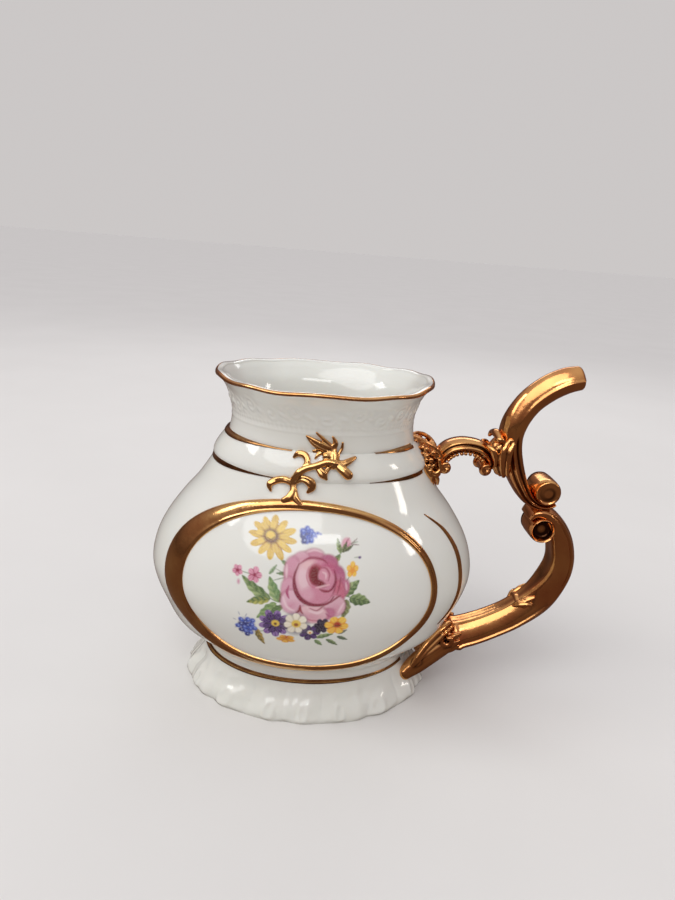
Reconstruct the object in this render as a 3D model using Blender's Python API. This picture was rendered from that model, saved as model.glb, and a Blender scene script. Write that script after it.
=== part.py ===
"""Porcelain cream jug.

An oval, bulbous body stands on a flared foot with a scalloped edge. A shoulder band and a flared neck with
a small pouring lip sit on top. Both faces carry a raised oval medallion in a gilt frame, with a printed
bouquet and a gilt sprig. A gilt scrolled handle with a free thumb rest joins the body at the shoulder and
just above the foot.

Lengths are in millimetres and make_object() turns them into Blender's metres. X runs from the pouring lip
to the handle, Y across the jug and Z up. All shapes are drawn about the jug's upright axis, and the empty
jug_axis moves them so that the origin is under the middle of the whole object.
"""
import math

import bmesh
import bpy
from mathutils import Vector

MM = 0.001

# Driving dimensions
BODY_HALF_WIDTH = 67.0
HANDLE_REACH = 113.2
RIM_HEIGHT = 134.6
FOOT_HEIGHT = 15.7
SHOULDER_HEIGHT = 101.4
NECK_HEIGHT = 111.6
WALL = 3.0
GAP = 0.3

# The body is an oval in plan: its depth is this share of its width, at these heights
DEPTH_HEIGHTS = (0.0, 62.0, NECK_HEIGHT, RIM_HEIGHT)
DEPTH_RATIOS = (0.73, 0.74, 0.77, 0.84)

# Outer outline as (half width, height), from the foot to the rim
FOOT_OUTLINE = [(51.4, 0.0), (52.2, 2.4), (50.4, 6.4), (47.0, 10.8), (44.4, FOOT_HEIGHT - GAP / 2)]
BOWL_OUTLINE = [
    (43.4, FOOT_HEIGHT + GAP / 2), (43.3, 19.4), (47.0, 23.8), (53.0, 28.0), (58.2, 33.0),
    (62.4, 41.5), (65.8, 50.0), (BODY_HALF_WIDTH, 57.5), (65.4, 66.0), (61.8, 74.0),
    (55.8, 83.0), (49.0, 91.5), (42.8, SHOULDER_HEIGHT - GAP / 2),
]
BAND_OUTLINE = [
    (43.0, SHOULDER_HEIGHT + GAP / 2), (43.2, 103.6), (41.6, 107.0), (38.2, NECK_HEIGHT - GAP / 2),
]
NECK_OUTLINE = [
    (37.4, NECK_HEIGHT + GAP / 2), (36.5, 116.0), (36.4, 121.0), (37.8, 127.0), (40.6, 131.4),
    (42.8, RIM_HEIGHT - 0.8),
]

# The rim: its pouring lip, how much blunter than an ellipse it is, and how far its two ends rise
LIP_REACH = 0.4
LIP_SPREAD = 0.42
RIM_BLUNTNESS = 0.2
LIP_RISE = 1.1
HANDLE_SIDE_RISE = 1.8

FOOT_LOBES = 18
FOOT_LOBE_DEPTH = 1.0
FOOT_BASE_WIDTH = 6.0
FOOT_INNER_STEP = 1.5

# Ovals round the medallion as (centre x, centre z, half width, half height)
MEDALLION_OVAL = (-3.1, 60.7, 46.5, 30.8)
FRAME_INNER_OVAL = (-3.1, 60.7, 46.9, 31.2)
FRAME_OUTER_OVAL = (-6.0, 60.4, 52.2, 34.9)
BOUQUET_OVAL = (-5.0, 64.5, 26.0, 23.0)
BOUQUET_LOBES = 7
BOUQUET_LOBE_DEPTH = 0.06

# Heights above the body's surface
LIFT_GAP = 0.45
MEDALLION_LIFT = 1.4
MEDALLION_CROWN = 0.8
FRAME_LIFT = 1.7
FILM = 0.4

# Brushed lines, as (widest, thinnest). A line reaches its full width TAPER_SHARE of the way along.
BROAD_LINE = (1.7, 0.4)
FINE_LINE = (1.4, 0.4)
FOOT_LINE = (1.1, 0.5)
TAPER_SHARE = 0.6

# Depth of the handle's scrolls along Y, from the middle plane
SCROLL_HALF_DEPTH = 7.0

SEGMENTS = 48
FOOT_SEGMENTS = 4 * FOOT_LOBES
OPEN_TOP = 145.0


# ---------------------------------------------------------------- outlines and the body's surface

def smooth(points, steps):
    """A Catmull-Rom curve through the points, with this many steps from one point to the next."""
    padded = [points[0]] + list(points) + [points[-1]]
    curve = []
    for p0, p1, p2, p3 in zip(padded, padded[1:], padded[2:], padded[3:]):
        for step in range(steps):
            t = step / steps
            curve.append(tuple(
                0.5 * (2 * b + (c - a) * t + (2 * a - 5 * b + 4 * c - d) * t ** 2
                       + (3 * b - a - 3 * c + d) * t ** 3)
                for a, b, c, d in zip(p0, p1, p2, p3)
            ))
    curve.append(tuple(points[-1]))
    return curve


def interpolate(x, xs, ys):
    """The piecewise straight line through (xs, ys) at x, held level past its ends."""
    if x <= xs[0]:
        return ys[0]
    for x0, x1, y0, y1 in zip(xs, xs[1:], ys, ys[1:]):
        if x <= x1:
            return y0 + (y1 - y0) * (x - x0) / (x1 - x0)
    return ys[-1]


SURFACE = [
    point
    for outline in (FOOT_OUTLINE, BOWL_OUTLINE, BAND_OUTLINE, NECK_OUTLINE)
    for point in smooth(outline, 4)
]
SURFACE_WIDTHS = [width for width, _ in SURFACE]
SURFACE_HEIGHTS = [height for _, height in SURFACE]


def half_width(z):
    """The body's outer half width at height z."""
    return interpolate(z, SURFACE_HEIGHTS, SURFACE_WIDTHS)


def depth_ratio(z):
    return interpolate(z, DEPTH_HEIGHTS, DEPTH_RATIOS)


def flare(z):
    """0 at the neck's base, rising smoothly to 1 at the rim, where the lip is pulled out."""
    t = min(1.0, max(0.0, (z - NECK_HEIGHT) / (RIM_HEIGHT - NECK_HEIGHT)))
    return t * t * (3 - 2 * t)


def oval_point(angle, width, z, inset=0.0):
    """A point of the oval with this half width at height z. The angle is 0 at the handle."""
    turn = angle % (2 * math.pi) - math.pi
    lip = LIP_REACH * math.exp(-((turn / LIP_SPREAD) ** 2))
    reach = math.cos(angle)
    blunt = math.copysign(abs(reach) ** (1 - RIM_BLUNTNESS * flare(z)), reach)
    x = (width - inset) * blunt - flare(z) * lip
    y = (width * depth_ratio(z) - inset) * math.sin(angle)
    rise = HANDLE_SIDE_RISE if reach > 0 else LIP_RISE
    return Vector((x, y, z + rise * flare(z) ** 2 * reach ** 4))


def oval(width, z, inset=0.0, segments=SEGMENTS):
    return [oval_point(2 * math.pi * i / segments, width, z, inset) for i in range(segments)]


def front_angle(x, z):
    """The angle of the point of the body's front at this x and z."""
    return -math.acos(max(-1.0, min(1.0, x / half_width(z))))


def lifted(angle, z, lift, level=False):
    """A point at this height above the body's outer surface, measured straight out or, if level, sideways."""
    step = 0.01
    point = oval_point(angle, half_width(z), z)
    along = oval_point(angle + step, half_width(z), z) - point
    upward = oval_point(angle, half_width(z + step), z + step) - point
    if level:
        upward = Vector((0.0, 0.0, step))
    return point + along.cross(upward).normalized() * lift


# ---------------------------------------------------------------- meshes

def make_material(name, colour, roughness, metallic=0.0):
    material = bpy.data.materials.new(name)
    material.use_nodes = True
    shader = material.node_tree.nodes["Principled BSDF"]
    shader.inputs["Base Color"].default_value = (*colour, 1.0)
    shader.inputs["Roughness"].default_value = roughness
    shader.inputs["Metallic"].default_value = metallic
    material.diffuse_color = (*colour, 1.0)
    return material


def make_object(name, points, faces, material):
    """An object from points in millimetres, with all faces turned outward."""
    mesh = bpy.data.meshes.new(name)
    mesh.from_pydata([Vector(p) * MM for p in points], [], faces)
    shape = bmesh.new()
    shape.from_mesh(mesh)
    bmesh.ops.recalc_face_normals(shape, faces=shape.faces)
    shape.to_mesh(mesh)
    shape.free()
    mesh.shade_smooth()
    mesh.set_sharp_from_angle(angle=math.radians(40))
    piece = bpy.data.objects.new(name, mesh)
    bpy.context.scene.collection.objects.link(piece)
    piece.parent = jug_axis
    if material is not None:
        piece.data.materials.append(material)
    return piece


def loft(name, rings, material, closed=False):
    """A skin over rings of points. Its ends are capped, or joined to each other when closed."""
    count = len(rings[0])
    pairs = list(zip(range(len(rings)), range(1, len(rings))))
    if closed:
        pairs.append((len(rings) - 1, 0))
    faces = [
        (a * count + i, a * count + (i + 1) % count, b * count + (i + 1) % count, b * count + i)
        for a, b in pairs
        for i in range(count)
    ]
    if not closed:
        faces.append(tuple(range(count)))
        faces.append(tuple((len(rings) - 1) * count + i for i in range(count)))
    return make_object(name, [p for ring in rings for p in ring], faces, material)


def thicken(name, low, high, faces, material):
    """A closed solid between two sheets of points that share their faces."""
    count = len(low)
    edges = {}
    for face in faces:
        for a, b in zip(face, face[1:] + face[:1]):
            edges[(a, b)] = edges.get((a, b), 0) + 1
    border = [(a, b) for a, b in edges if (b, a) not in edges]
    solid = [tuple(reversed(face)) for face in faces]
    solid += [tuple(i + count for i in face) for face in faces]
    solid += [(a, b, b + count, a + count) for a, b in border]
    return make_object(name, low + high, solid, material)


def grid_faces(rows, columns, wrap=False):
    """The faces of a grid of rows, whose last column joins the first one when wrap is set."""
    last = columns if wrap else columns - 1
    return [
        (r * columns + c, r * columns + (c + 1) % columns,
         (r + 1) * columns + (c + 1) % columns, (r + 1) * columns + c)
        for r in range(rows - 1)
        for c in range(last)
    ]


def disc_faces(rings, columns):
    """The faces of a disc: point 0 is its middle, and then come its rings."""
    middle = [(0, 1 + (c + 1) % columns, 1 + c) for c in range(columns)]
    return middle + [tuple(i + 1 for i in face) for face in grid_faces(rings, columns, wrap=True)]


def combine(target, other, operation):
    """A Boolean modifier on target. The other object is only a cutter, and isn't a part."""
    other.hide_render = True
    other.display_type = "WIRE"
    modifier = target.modifiers.new(other.name, "BOOLEAN")
    modifier.operation = operation
    modifier.solver = "EXACT"
    modifier.object = other


# ---------------------------------------------------------------- the vessel

def make_bowl():
    outer = smooth(BOWL_OUTLINE, 1)
    inside = [(width, z) for width, z in outer if z > FOOT_HEIGHT + WALL + 2]
    floor = (outer[0][0] - WALL, FOOT_HEIGHT + GAP / 2 + WALL)
    rings = [oval(width, z) for width, z in outer]
    rings += [oval(width, z, inset=WALL) for width, z in reversed(inside)]
    rings.append(oval(floor[0], floor[1], inset=WALL))
    return loft("bowl", rings, porcelain)


def ring_of_wall(name, outline, material):
    """A band of the vessel's wall, open at the top and the bottom."""
    rings = [oval(width, z) for width, z in outline]
    rings += [oval(width, z, inset=WALL) for width, z in reversed(outline)]
    return loft(name, rings, material, closed=True)


def make_foot():
    """A ring with a lobed lower edge, flat underneath."""
    def lobed(width, z, inset=0.0):
        depth = FOOT_LOBE_DEPTH * max(0.0, 1 - z / FOOT_HEIGHT)
        ring = []
        for i in range(FOOT_SEGMENTS):
            angle = 2 * math.pi * i / FOOT_SEGMENTS
            lobe = depth * (abs(math.sin(FOOT_LOBES * angle / 2)) - 1)
            ring.append(oval_point(angle, width + lobe, z, inset))
        return ring

    def inner(z, inset):
        return oval(half_width(z), z, inset, FOOT_SEGMENTS)

    rings = [lobed(width, z) for width, z in FOOT_OUTLINE]
    rings.append(inner(FOOT_OUTLINE[-1][1], WALL))
    rings.append(inner(FOOT_OUTLINE[2][1], WALL + FOOT_INNER_STEP))
    rings.append(oval(FOOT_OUTLINE[0][0], 0.0, FOOT_BASE_WIDTH, FOOT_SEGMENTS))
    return loft("foot_ring", rings, porcelain, closed=True)


def make_rim_gilding():
    """The gilt edge: a flat ring that lies on the rim."""
    width, top = NECK_OUTLINE[-1]
    low = top + GAP
    high = low + FILM
    rings = [
        oval(width, low), oval(width, high), oval(width, high, inset=WALL), oval(width, low, inset=WALL),
    ]
    return loft("rim_gilding", rings, gold, closed=True)


# ---------------------------------------------------------------- gilding, medallions and sprigs

def stroke(name, places, widths, taper_start, taper_end):
    """A brushed line of gold along places (angle, z), tapering to a point where it is asked to."""
    widest, thinnest = widths
    low, high = [], []
    last = len(places) - 1
    for i, (angle, z) in enumerate(places):
        share = i / last
        width = widest
        if taper_start:
            width = min(width, thinnest + (widest - thinnest) * share / TAPER_SHARE)
        if taper_end:
            width = min(width, thinnest + (widest - thinnest) * (1 - share) / TAPER_SHARE)
        for height in (z - width / 2, z + width / 2):
            low.append(lifted(angle, height, LIFT_GAP, level=True))
            high.append(lifted(angle, height, LIFT_GAP + FILM, level=True))
    return thicken(name, low, high, grid_faces(len(places), 2), gold)


def line_round(z, start, end, steps):
    """Places at one height, from one angle in degrees to another."""
    return [(math.radians(start + (end - start) * i / steps), z) for i in range(steps + 1)]


def make_lines():
    for label, z, front_left, front_right, handle_side in (
        ("lower", SHOULDER_HEIGHT, 250, 294, 338),
        ("upper", NECK_HEIGHT, 252, 300, 336),
    ):
        lip_side = line_round(z, 360 - front_left, front_left, 28)
        front = line_round(z, front_right, handle_side, 8)
        rear = line_round(z, 360 - handle_side, 360 - front_right, 8)
        stroke(f"{label}_line_lip_side", lip_side, BROAD_LINE, True, True)
        stroke(f"front_{label}_line", front, FINE_LINE, True, False)
        stroke(f"rear_{label}_line", rear, FINE_LINE, False, True)
    stroke("foot_line", line_round(FOOT_HEIGHT + 0.9, 24, 336, 44), FOOT_LINE, True, True)


def on_oval(shape, turn, share=1.0):
    """The place (x, z) on an oval (centre x, centre z, half width, half height), or part of the way out."""
    x, z, width, height = shape
    return (x + share * width * math.cos(turn), z + share * height * math.sin(turn))


def mirrored(points):
    """The same points on the jug's rear."""
    return [Vector((p.x, -p.y, p.z)) for p in points]


def on_both_faces(name, low, high, faces, material):
    """The same thin solid on the jug's front and on its rear."""
    thicken(f"front_{name}", low, high, faces, material)
    thicken(f"rear_{name}", mirrored(low), mirrored(high), faces, material)


def medallion_height(x, z):
    """How far the medallion's top stands above the body, highest in its middle."""
    centre_x, centre_z, width, height = MEDALLION_OVAL
    share = min(1.0, ((x - centre_x) / width) ** 2 + ((z - centre_z) / height) ** 2)
    return MEDALLION_LIFT + MEDALLION_CROWN * (1 - share)


def make_medallions():
    columns, rings = 32, 6
    places = [on_oval(MEDALLION_OVAL, 0, 0)]
    for ring in range(1, rings + 1):
        places += [on_oval(MEDALLION_OVAL, 2 * math.pi * c / columns, ring / rings) for c in range(columns)]
    low = [lifted(front_angle(x, z), z, LIFT_GAP) for x, z in places]
    high = [lifted(front_angle(x, z), z, medallion_height(x, z)) for x, z in places]
    on_both_faces("medallion", low, high, disc_faces(rings, columns), porcelain)


def make_frames():
    columns, rows = 48, 3
    places = []
    for row in range(rows):
        share = row / (rows - 1)
        for c in range(columns):
            turn = 2 * math.pi * c / columns
            inside = on_oval(FRAME_INNER_OVAL, turn)
            outside = on_oval(FRAME_OUTER_OVAL, turn)
            places.append(tuple(a + (b - a) * share for a, b in zip(inside, outside)))
    low = [lifted(front_angle(x, z), z, LIFT_GAP) for x, z in places]
    high = [lifted(front_angle(x, z), z, FRAME_LIFT) for x, z in places]
    on_both_faces("medallion_frame", low, high, grid_faces(rows, columns, wrap=True), gold)


def make_bouquets():
    """The printed bouquets: thin films with a softly lobed outline."""
    columns, rings = 28, 3
    places = [on_oval(BOUQUET_OVAL, 0, 0)]
    for ring in range(1, rings + 1):
        for c in range(columns):
            turn = 2 * math.pi * c / columns
            lobe = 1 + BOUQUET_LOBE_DEPTH * math.cos(BOUQUET_LOBES * turn)
            places.append(on_oval(BOUQUET_OVAL, turn, lobe * ring / rings))
    low = [lifted(front_angle(x, z), z, medallion_height(x, z) + LIFT_GAP) for x, z in places]
    high = [lifted(front_angle(x, z), z, medallion_height(x, z) + LIFT_GAP + FILM) for x, z in places]
    on_both_faces("bouquet", low, high, disc_faces(rings, columns), print_ink)


SIDE_ARC = [(40.3, 88.0), (48.8, 81.0), (55.2, 72.5), (57.6, 64.0), (57.4, 55.0), (54.6, 47.0)]


def make_side_arcs():
    """The thin gilt arcs between the medallions and the handle."""
    low, high = [], []
    places = smooth(SIDE_ARC, 4)
    for i, (x, z) in enumerate(places):
        half = 0.35 + 0.45 * math.sin(math.pi * i / (len(places) - 1))
        for shift in (-half, half):
            angle = front_angle(x + shift, z)
            low.append(lifted(angle, z, LIFT_GAP))
            high.append(lifted(angle, z, LIFT_GAP + FILM))
    on_both_faces("side_arc", low, high, grid_faces(len(places), 2), gold)


# A sprig's twigs as (x, z, half thickness), each from its root to its tip
SPRIG_STEM = [(-9.6, 96.8, 1.1), (-9.8, 101.0, 1.3), (-7.2, 106.0, 1.2), (-2.4, 107.8, 1.2),
              (3.2, 108.6, 1.2), (6.8, 108.8, 0.9), (10.6, 110.0, 0.5)]
SPRIG_TWIGS = {
    "left_curl": [(-9.8, 100.6, 1.0), (-14.0, 101.6, 1.1), (-18.6, 98.4, 0.6)],
    "right_leaf": [(-9.6, 102.2, 0.9), (-5.6, 102.6, 1.2), (-4.6, 98.6, 0.6)],
    "upper_curl": [(-7.0, 106.0, 0.8), (-6.2, 109.6, 0.9), (-10.2, 110.6, 0.5)],
    "lower_leaf": [(-1.6, 107.6, 0.8), (0.4, 103.4, 0.9)],
    "bud": [(4.6, 108.6, 0.9), (9.2, 104.4, 1.2)],
    "top_twig": [(2.8, 108.4, 1.2), (2.9, 113.2, 1.1), (2.2, 117.4, 0.5)],
    "big_leaf": [(2.8, 111.6, 1.1), (-1.6, 114.4, 1.3), (-6.0, 117.4, 0.5)],
    "right_twig": [(4.8, 109.0, 0.8), (5.6, 115.6, 0.5)],
}


def twig(name, path, side, material=None):
    """A tapering twig that lies along the body's surface."""
    stations = smooth(path, 2)
    points = []
    for x, z, half in stations:
        points.append(lifted(front_angle(x, z), z, half + LIFT_GAP))
    rings = []
    sides = 6
    for i, (centre, (x, z, half)) in enumerate(zip(points, stations)):
        ahead = points[min(i + 1, len(points) - 1)] - points[max(i - 1, 0)]
        outward = (centre - lifted(front_angle(x, z), z, 0.0)).normalized()
        across = ahead.cross(outward).normalized()
        ring = []
        for s in range(sides):
            turn = 2 * math.pi * s / sides
            point = centre + across * (half * math.cos(turn)) + outward * (half * 0.9 * math.sin(turn))
            ring.append(Vector((point.x, point.y * side, point.z)))
        rings.append(ring)
    return loft(name, rings, material)


def make_sprigs():
    for label, side in (("front", 1), ("rear", -1)):
        sprig = twig(f"{label}_sprig", SPRIG_STEM, side, gold)
        for name, path in SPRIG_TWIGS.items():
            combine(sprig, twig(f"{label}_{name}", path, side), "UNION")


# ---------------------------------------------------------------- the handle

OUTER_BEND_HALF = 5.8

# Centre lines as (x, z, half thickness, half depth along Y)
STEM = [
    (102.0, 140.6, 5.0, 5.2), (96.3, 138.9, 5.3, 5.5), (89.9, 135.4, 5.4, 5.7), (83.5, 129.8, 5.3, 5.8),
    (79.4, 123.2, 5.2, 6.0), (77.6, 116.7, 5.0, 6.2), (78.0, 110.3, 4.6, 6.4), (79.6, 104.3, 4.3, 6.6),
    (81.6, 99.0, 4.0, 6.8), (84.2, 94.0, 3.4, 6.9), (87.6, 89.0, 2.8, 6.9), (91.8, 86.2, 2.2, 6.8),
]
LOWER_SCROLL = [
    (92.6, 82.8, 2.2, 6.8), (97.6, 82.0, 3.4, 7.0), (102.4, 76.4, 4.8, 7.0), (105.6, 68.8, 5.5, 7.1),
    (HANDLE_REACH - OUTER_BEND_HALF, 60.0, OUTER_BEND_HALF, 7.2), (105.6, 51.4, 6.2, 7.4),
    (99.9, 41.8, 6.8, 7.7), (90.4, 33.6, 6.5, 8.0), (81.4, 28.4, 6.4, 8.3), (73.0, 24.6, 6.7, 8.6),
    (63.0, 21.2, 7.0, 8.8),
]
ARM = [
    (50.2, 101.6, 2.2, 4.8), (50.8, 105.2, 2.8, 5.0), (53.0, 108.8, 3.1, 5.1), (57.0, 110.6, 3.2, 5.2),
    (61.2, 110.8, 3.2, 5.2), (65.4, 109.6, 3.2, 5.2), (68.8, 106.8, 3.1, 5.2), (70.2, 103.4, 2.6, 5.0),
    (69.0, 100.8, 2.0, 4.8),
]
COLLAR = [(74.2, 99.8, 2.2, 4.6), (73.2, 104.4, 3.8, 6.6), (73.2, 109.4, 4.1, 6.9), (74.8, 113.2, 2.6, 5.0)]
TOP_PLATE = [
    (39.4, 114.6, 1.6, 3.4), (42.6, 110.8, 3.4, 6.8), (44.8, 106.0, 4.0, 8.4), (46.0, 101.0, 3.8, 8.0),
    (47.4, 95.6, 2.6, 5.6), (49.4, 91.4, 1.4, 2.6),
]
FOOT_LEAF = [
    (57.6, 29.0, 2.6, 6.0), (54.4, 24.0, 4.6, 9.0), (50.8, 18.4, 5.2, 10.0), (50.4, 12.6, 4.4, 9.0),
    (52.8, 7.6, 2.6, 6.0), (54.6, 4.4, 1.2, 2.8),
]
LEAF_CURL = [(90.4, 41.0, 1.2, 3.0), (92.8, 43.4, 2.2, 4.2), (96.4, 44.6, 1.9, 3.6), (98.6, 48.2, 1.0, 2.2)]

# Volutes as (centre x, centre z, radius, half depth)
STEM_VOLUTE = (95.0, 92.8, 5.4, SCROLL_HALF_DEPTH)
LOWER_VOLUTE = (95.0, 75.5, 5.2, SCROLL_HALF_DEPTH)
ARM_INNER_VOLUTE = (51.6, 99.6, 2.5, 5.2)
ARM_OUTER_VOLUTE = (68.0, 99.6, 2.5, 5.2)


def sweep(name, path, material, sides=12, steps=2, grow=0.0):
    """A tube along a centre line in the handle's plane, with rounded ends."""
    stations = smooth(path, steps)
    rings = []

    def ring(x, z, along, thick, depth):
        normal = Vector((-along.z, 0.0, along.x))
        return [
            Vector((x, 0.0, z)) + normal * ((thick + grow) * math.cos(2 * math.pi * (s + 0.5) / sides))
            + Vector((0.0, (depth + grow) * math.sin(2 * math.pi * (s + 0.5) / sides), 0.0))
            for s in range(sides)
        ]

    directions = []
    for i in range(len(stations)):
        a, b = stations[max(i - 1, 0)], stations[min(i + 1, len(stations) - 1)]
        directions.append(Vector((b[0] - a[0], 0.0, b[1] - a[1])).normalized())
    for end, sign in ((0, -1), (len(stations) - 1, 1)):
        x, z, thick, depth = stations[end]
        dome = []
        for reach, scale in ((0.5, 0.8), (0.8, 0.45)):
            step = directions[end] * (sign * (reach * thick + grow))
            dome.append(ring(x + step.x, z + step.z, directions[end], thick * scale, depth * scale))
        if end == 0:
            rings += reversed(dome)
            rings += [ring(s[0], s[1], d, s[2], s[3]) for s, d in zip(stations, directions)]
        else:
            rings += dome
    return loft(name, rings, material)


def volute(name, shape, material, sides=20, grow=0.0):
    """A scroll's rolled end: a drum across the handle with a boss on both faces."""
    x, z, radius, half = shape
    boss = 0.45 * radius
    outline = [(boss, half + 0.7), (boss + 0.4, half), (radius - 0.9, half), (radius, half - 0.9)]
    outline += [(r, -y) for r, y in reversed(outline)]
    rings = []
    for r, y in outline:
        push = math.copysign(grow, y)
        rings.append([
            Vector((x + (r + grow) * math.cos(2 * math.pi * s / sides), y + push,
                    z + (r + grow) * math.sin(2 * math.pi * s / sides)))
            for s in range(sides)
        ])
    return loft(name, rings, material)


def body_cutter():
    """The whole vessel, grown by the gap, to shape what lies against it."""
    rings = [oval(FOOT_OUTLINE[0][0], -5.0, inset=-LIFT_GAP)]
    for outline in (FOOT_OUTLINE, BOWL_OUTLINE, BAND_OUTLINE, NECK_OUTLINE):
        rings += [oval(width, z, inset=-LIFT_GAP) for width, z in outline]
    rings.append(oval(NECK_OUTLINE[-1][0], OPEN_TOP, inset=-LIFT_GAP))
    return loft("body_cutter", rings, None)


def make_handle():
    body = body_cutter()
    stem = sweep("handle_stem", STEM, gold)
    lower = sweep("handle_lower_scroll", LOWER_SCROLL, gold)
    arm = sweep("handle_arm", ARM, gold, sides=10)
    collar = sweep("handle_collar", COLLAR, gold, sides=10)
    plate = sweep("handle_top_plate", TOP_PLATE, gold, sides=10)
    leaf = sweep("handle_foot_leaf", FOOT_LEAF, gold, sides=10)
    curl = sweep("handle_leaf_curl", LEAF_CURL, gold, sides=8)
    volute("handle_stem_volute", STEM_VOLUTE, gold)
    volute("handle_lower_volute", LOWER_VOLUTE, gold)
    volute("handle_arm_inner_volute", ARM_INNER_VOLUTE, gold, sides=14)
    volute("handle_arm_outer_volute", ARM_OUTER_VOLUTE, gold, sides=14)

    stem_cutter = sweep("stem_cutter", STEM, None, grow=GAP)
    collar_cutter = sweep("collar_cutter", COLLAR, None, sides=10, grow=GAP)
    plate_cutter = sweep("plate_cutter", TOP_PLATE, None, sides=10, grow=GAP)
    leaf_cutter = sweep("leaf_cutter", FOOT_LEAF, None, sides=10, grow=GAP)
    lower_cutter = sweep("lower_cutter", LOWER_SCROLL, None, grow=GAP)
    stem_volute_cutter = volute("stem_volute_cutter", STEM_VOLUTE, None, grow=GAP)
    lower_volute_cutter = volute("lower_volute_cutter", LOWER_VOLUTE, None, grow=GAP)
    inner_volute_cutter = volute("inner_volute_cutter", ARM_INNER_VOLUTE, None, sides=14, grow=GAP)
    outer_volute_cutter = volute("outer_volute_cutter", ARM_OUTER_VOLUTE, None, sides=14, grow=GAP)

    for target, cutters in (
        (stem, (stem_volute_cutter,)),
        (lower, (lower_volute_cutter, stem_cutter, leaf_cutter)),
        (collar, (stem_cutter, outer_volute_cutter)),
        (arm, (collar_cutter, plate_cutter, inner_volute_cutter, outer_volute_cutter)),
        (plate, (body, inner_volute_cutter)),
        (leaf, (body,)),
        (curl, (lower_cutter,)),
    ):
        for cutter in cutters:
            combine(target, cutter, "DIFFERENCE")


for old in list(bpy.data.objects):
    bpy.data.objects.remove(old)

jug_axis = bpy.data.objects.new("jug_axis", None)
bpy.context.scene.collection.objects.link(jug_axis)
jug_axis.location = ((BODY_HALF_WIDTH - HANDLE_REACH) / 2 * MM, 0.0, 0.0)

porcelain = make_material("glazed_porcelain", (0.83, 0.84, 0.81), 0.12)
gold = make_material("burnished_gold", (0.78, 0.42, 0.14), 0.18, metallic=1.0)
print_ink = make_material("bouquet_print", (0.72, 0.38, 0.5), 0.15)

make_bowl()
ring_of_wall("shoulder_band", BAND_OUTLINE, porcelain)
ring_of_wall("neck", NECK_OUTLINE, porcelain)
make_foot()
make_rim_gilding()
make_lines()
make_medallions()
make_frames()
make_bouquets()
make_side_arcs()
make_sprigs()
make_handle()
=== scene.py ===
import math

import bmesh
import bpy
import numpy as np
from mathutils import Matrix, Vector


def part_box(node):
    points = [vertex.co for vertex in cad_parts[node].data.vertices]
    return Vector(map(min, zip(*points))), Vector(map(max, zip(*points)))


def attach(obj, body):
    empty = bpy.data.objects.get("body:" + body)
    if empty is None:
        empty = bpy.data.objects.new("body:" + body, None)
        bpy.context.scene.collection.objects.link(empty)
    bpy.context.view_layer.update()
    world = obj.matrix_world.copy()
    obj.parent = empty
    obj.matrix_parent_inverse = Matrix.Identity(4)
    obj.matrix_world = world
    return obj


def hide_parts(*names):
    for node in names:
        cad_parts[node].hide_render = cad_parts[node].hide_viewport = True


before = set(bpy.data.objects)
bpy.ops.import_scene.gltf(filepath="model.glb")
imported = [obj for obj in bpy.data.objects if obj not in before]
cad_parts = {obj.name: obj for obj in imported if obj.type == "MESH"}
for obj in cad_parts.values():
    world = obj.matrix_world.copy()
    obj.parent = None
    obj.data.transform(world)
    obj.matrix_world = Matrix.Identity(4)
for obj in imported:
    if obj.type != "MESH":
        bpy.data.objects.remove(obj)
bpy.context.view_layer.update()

# Lengths are in millimetres until mesh_piece() turns them into metres. They are measured from the jug's axis,
# which stands upright at AXIS_X. X runs from the pouring lip to the handle. The front medallion faces -Y.
MM = 0.001
TURN = 2 * math.pi
bowl_low, bowl_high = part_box("bowl")
AXIS_X = (bowl_low.x + bowl_high.x) / 2 / MM
BODY_HALF_WIDTH = (bowl_high.x - bowl_low.x) / 2 / MM

# The rim rises towards the lip and the handle. Its ends are blunter than an oval's, and the lip leans out a
# little over a narrow spread of angles.
LIP_RISE = 1.1
HANDLE_SIDE_RISE = 1.8
RIM_BLUNTNESS = 0.2
LIP_REACH = 0.4
LIP_SPREAD = 0.42

# Heights of the creases between the castings, of the rim where it is lowest, and of the edge where its round
# crest begins
FOOT_HEIGHT = (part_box("foot_ring")[1].z + bowl_low.z) / 2 / MM
SHOULDER_HEIGHT = (bowl_high.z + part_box("shoulder_band")[0].z) / 2 / MM
NECK_HEIGHT = (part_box("shoulder_band")[1].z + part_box("neck")[0].z) / 2 / MM
RIM_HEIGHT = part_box("rim_gilding")[1].z / MM - HANDLE_SIDE_RISE
RIM_EDGE = RIM_HEIGHT - 0.7
WALL = 3.0

# The same outlines as the CAD part's, as (half width, height)
FOOT_OUTLINE = [(51.4, 0.0), (52.2, 2.4), (50.4, 6.4), (47.0, 10.8), (44.4, FOOT_HEIGHT)]
BOWL_OUTLINE = [
    (43.4, FOOT_HEIGHT), (43.3, 19.4), (47.0, 23.8), (53.0, 28.0), (58.2, 33.0), (62.4, 41.5), (65.8, 50.0),
    (BODY_HALF_WIDTH, 57.5), (65.4, 66.0), (61.8, 74.0), (55.8, 83.0), (49.0, 91.5), (42.8, SHOULDER_HEIGHT),
]
BAND_OUTLINE = [(43.0, SHOULDER_HEIGHT), (43.2, 103.6), (41.6, 107.0), (38.2, NECK_HEIGHT)]
NECK_OUTLINE = [
    (37.4, NECK_HEIGHT), (36.5, 116.0), (36.4, 121.0), (37.8, 127.0), (40.6, 131.4), (42.8, RIM_EDGE),
]
# The body's depth from front to rear, as a share of its width, at these heights
DEPTH_HEIGHTS = (0.0, 62.0, NECK_HEIGHT, RIM_HEIGHT)
DEPTH_RATIOS = (0.73, 0.74, 0.77, 0.84)

# How far the medallion's panel bulges over the body in its middle, and how far its edge stands proud
PANEL_CROWN = 2.1
PANEL_EDGE = 0.1

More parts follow.
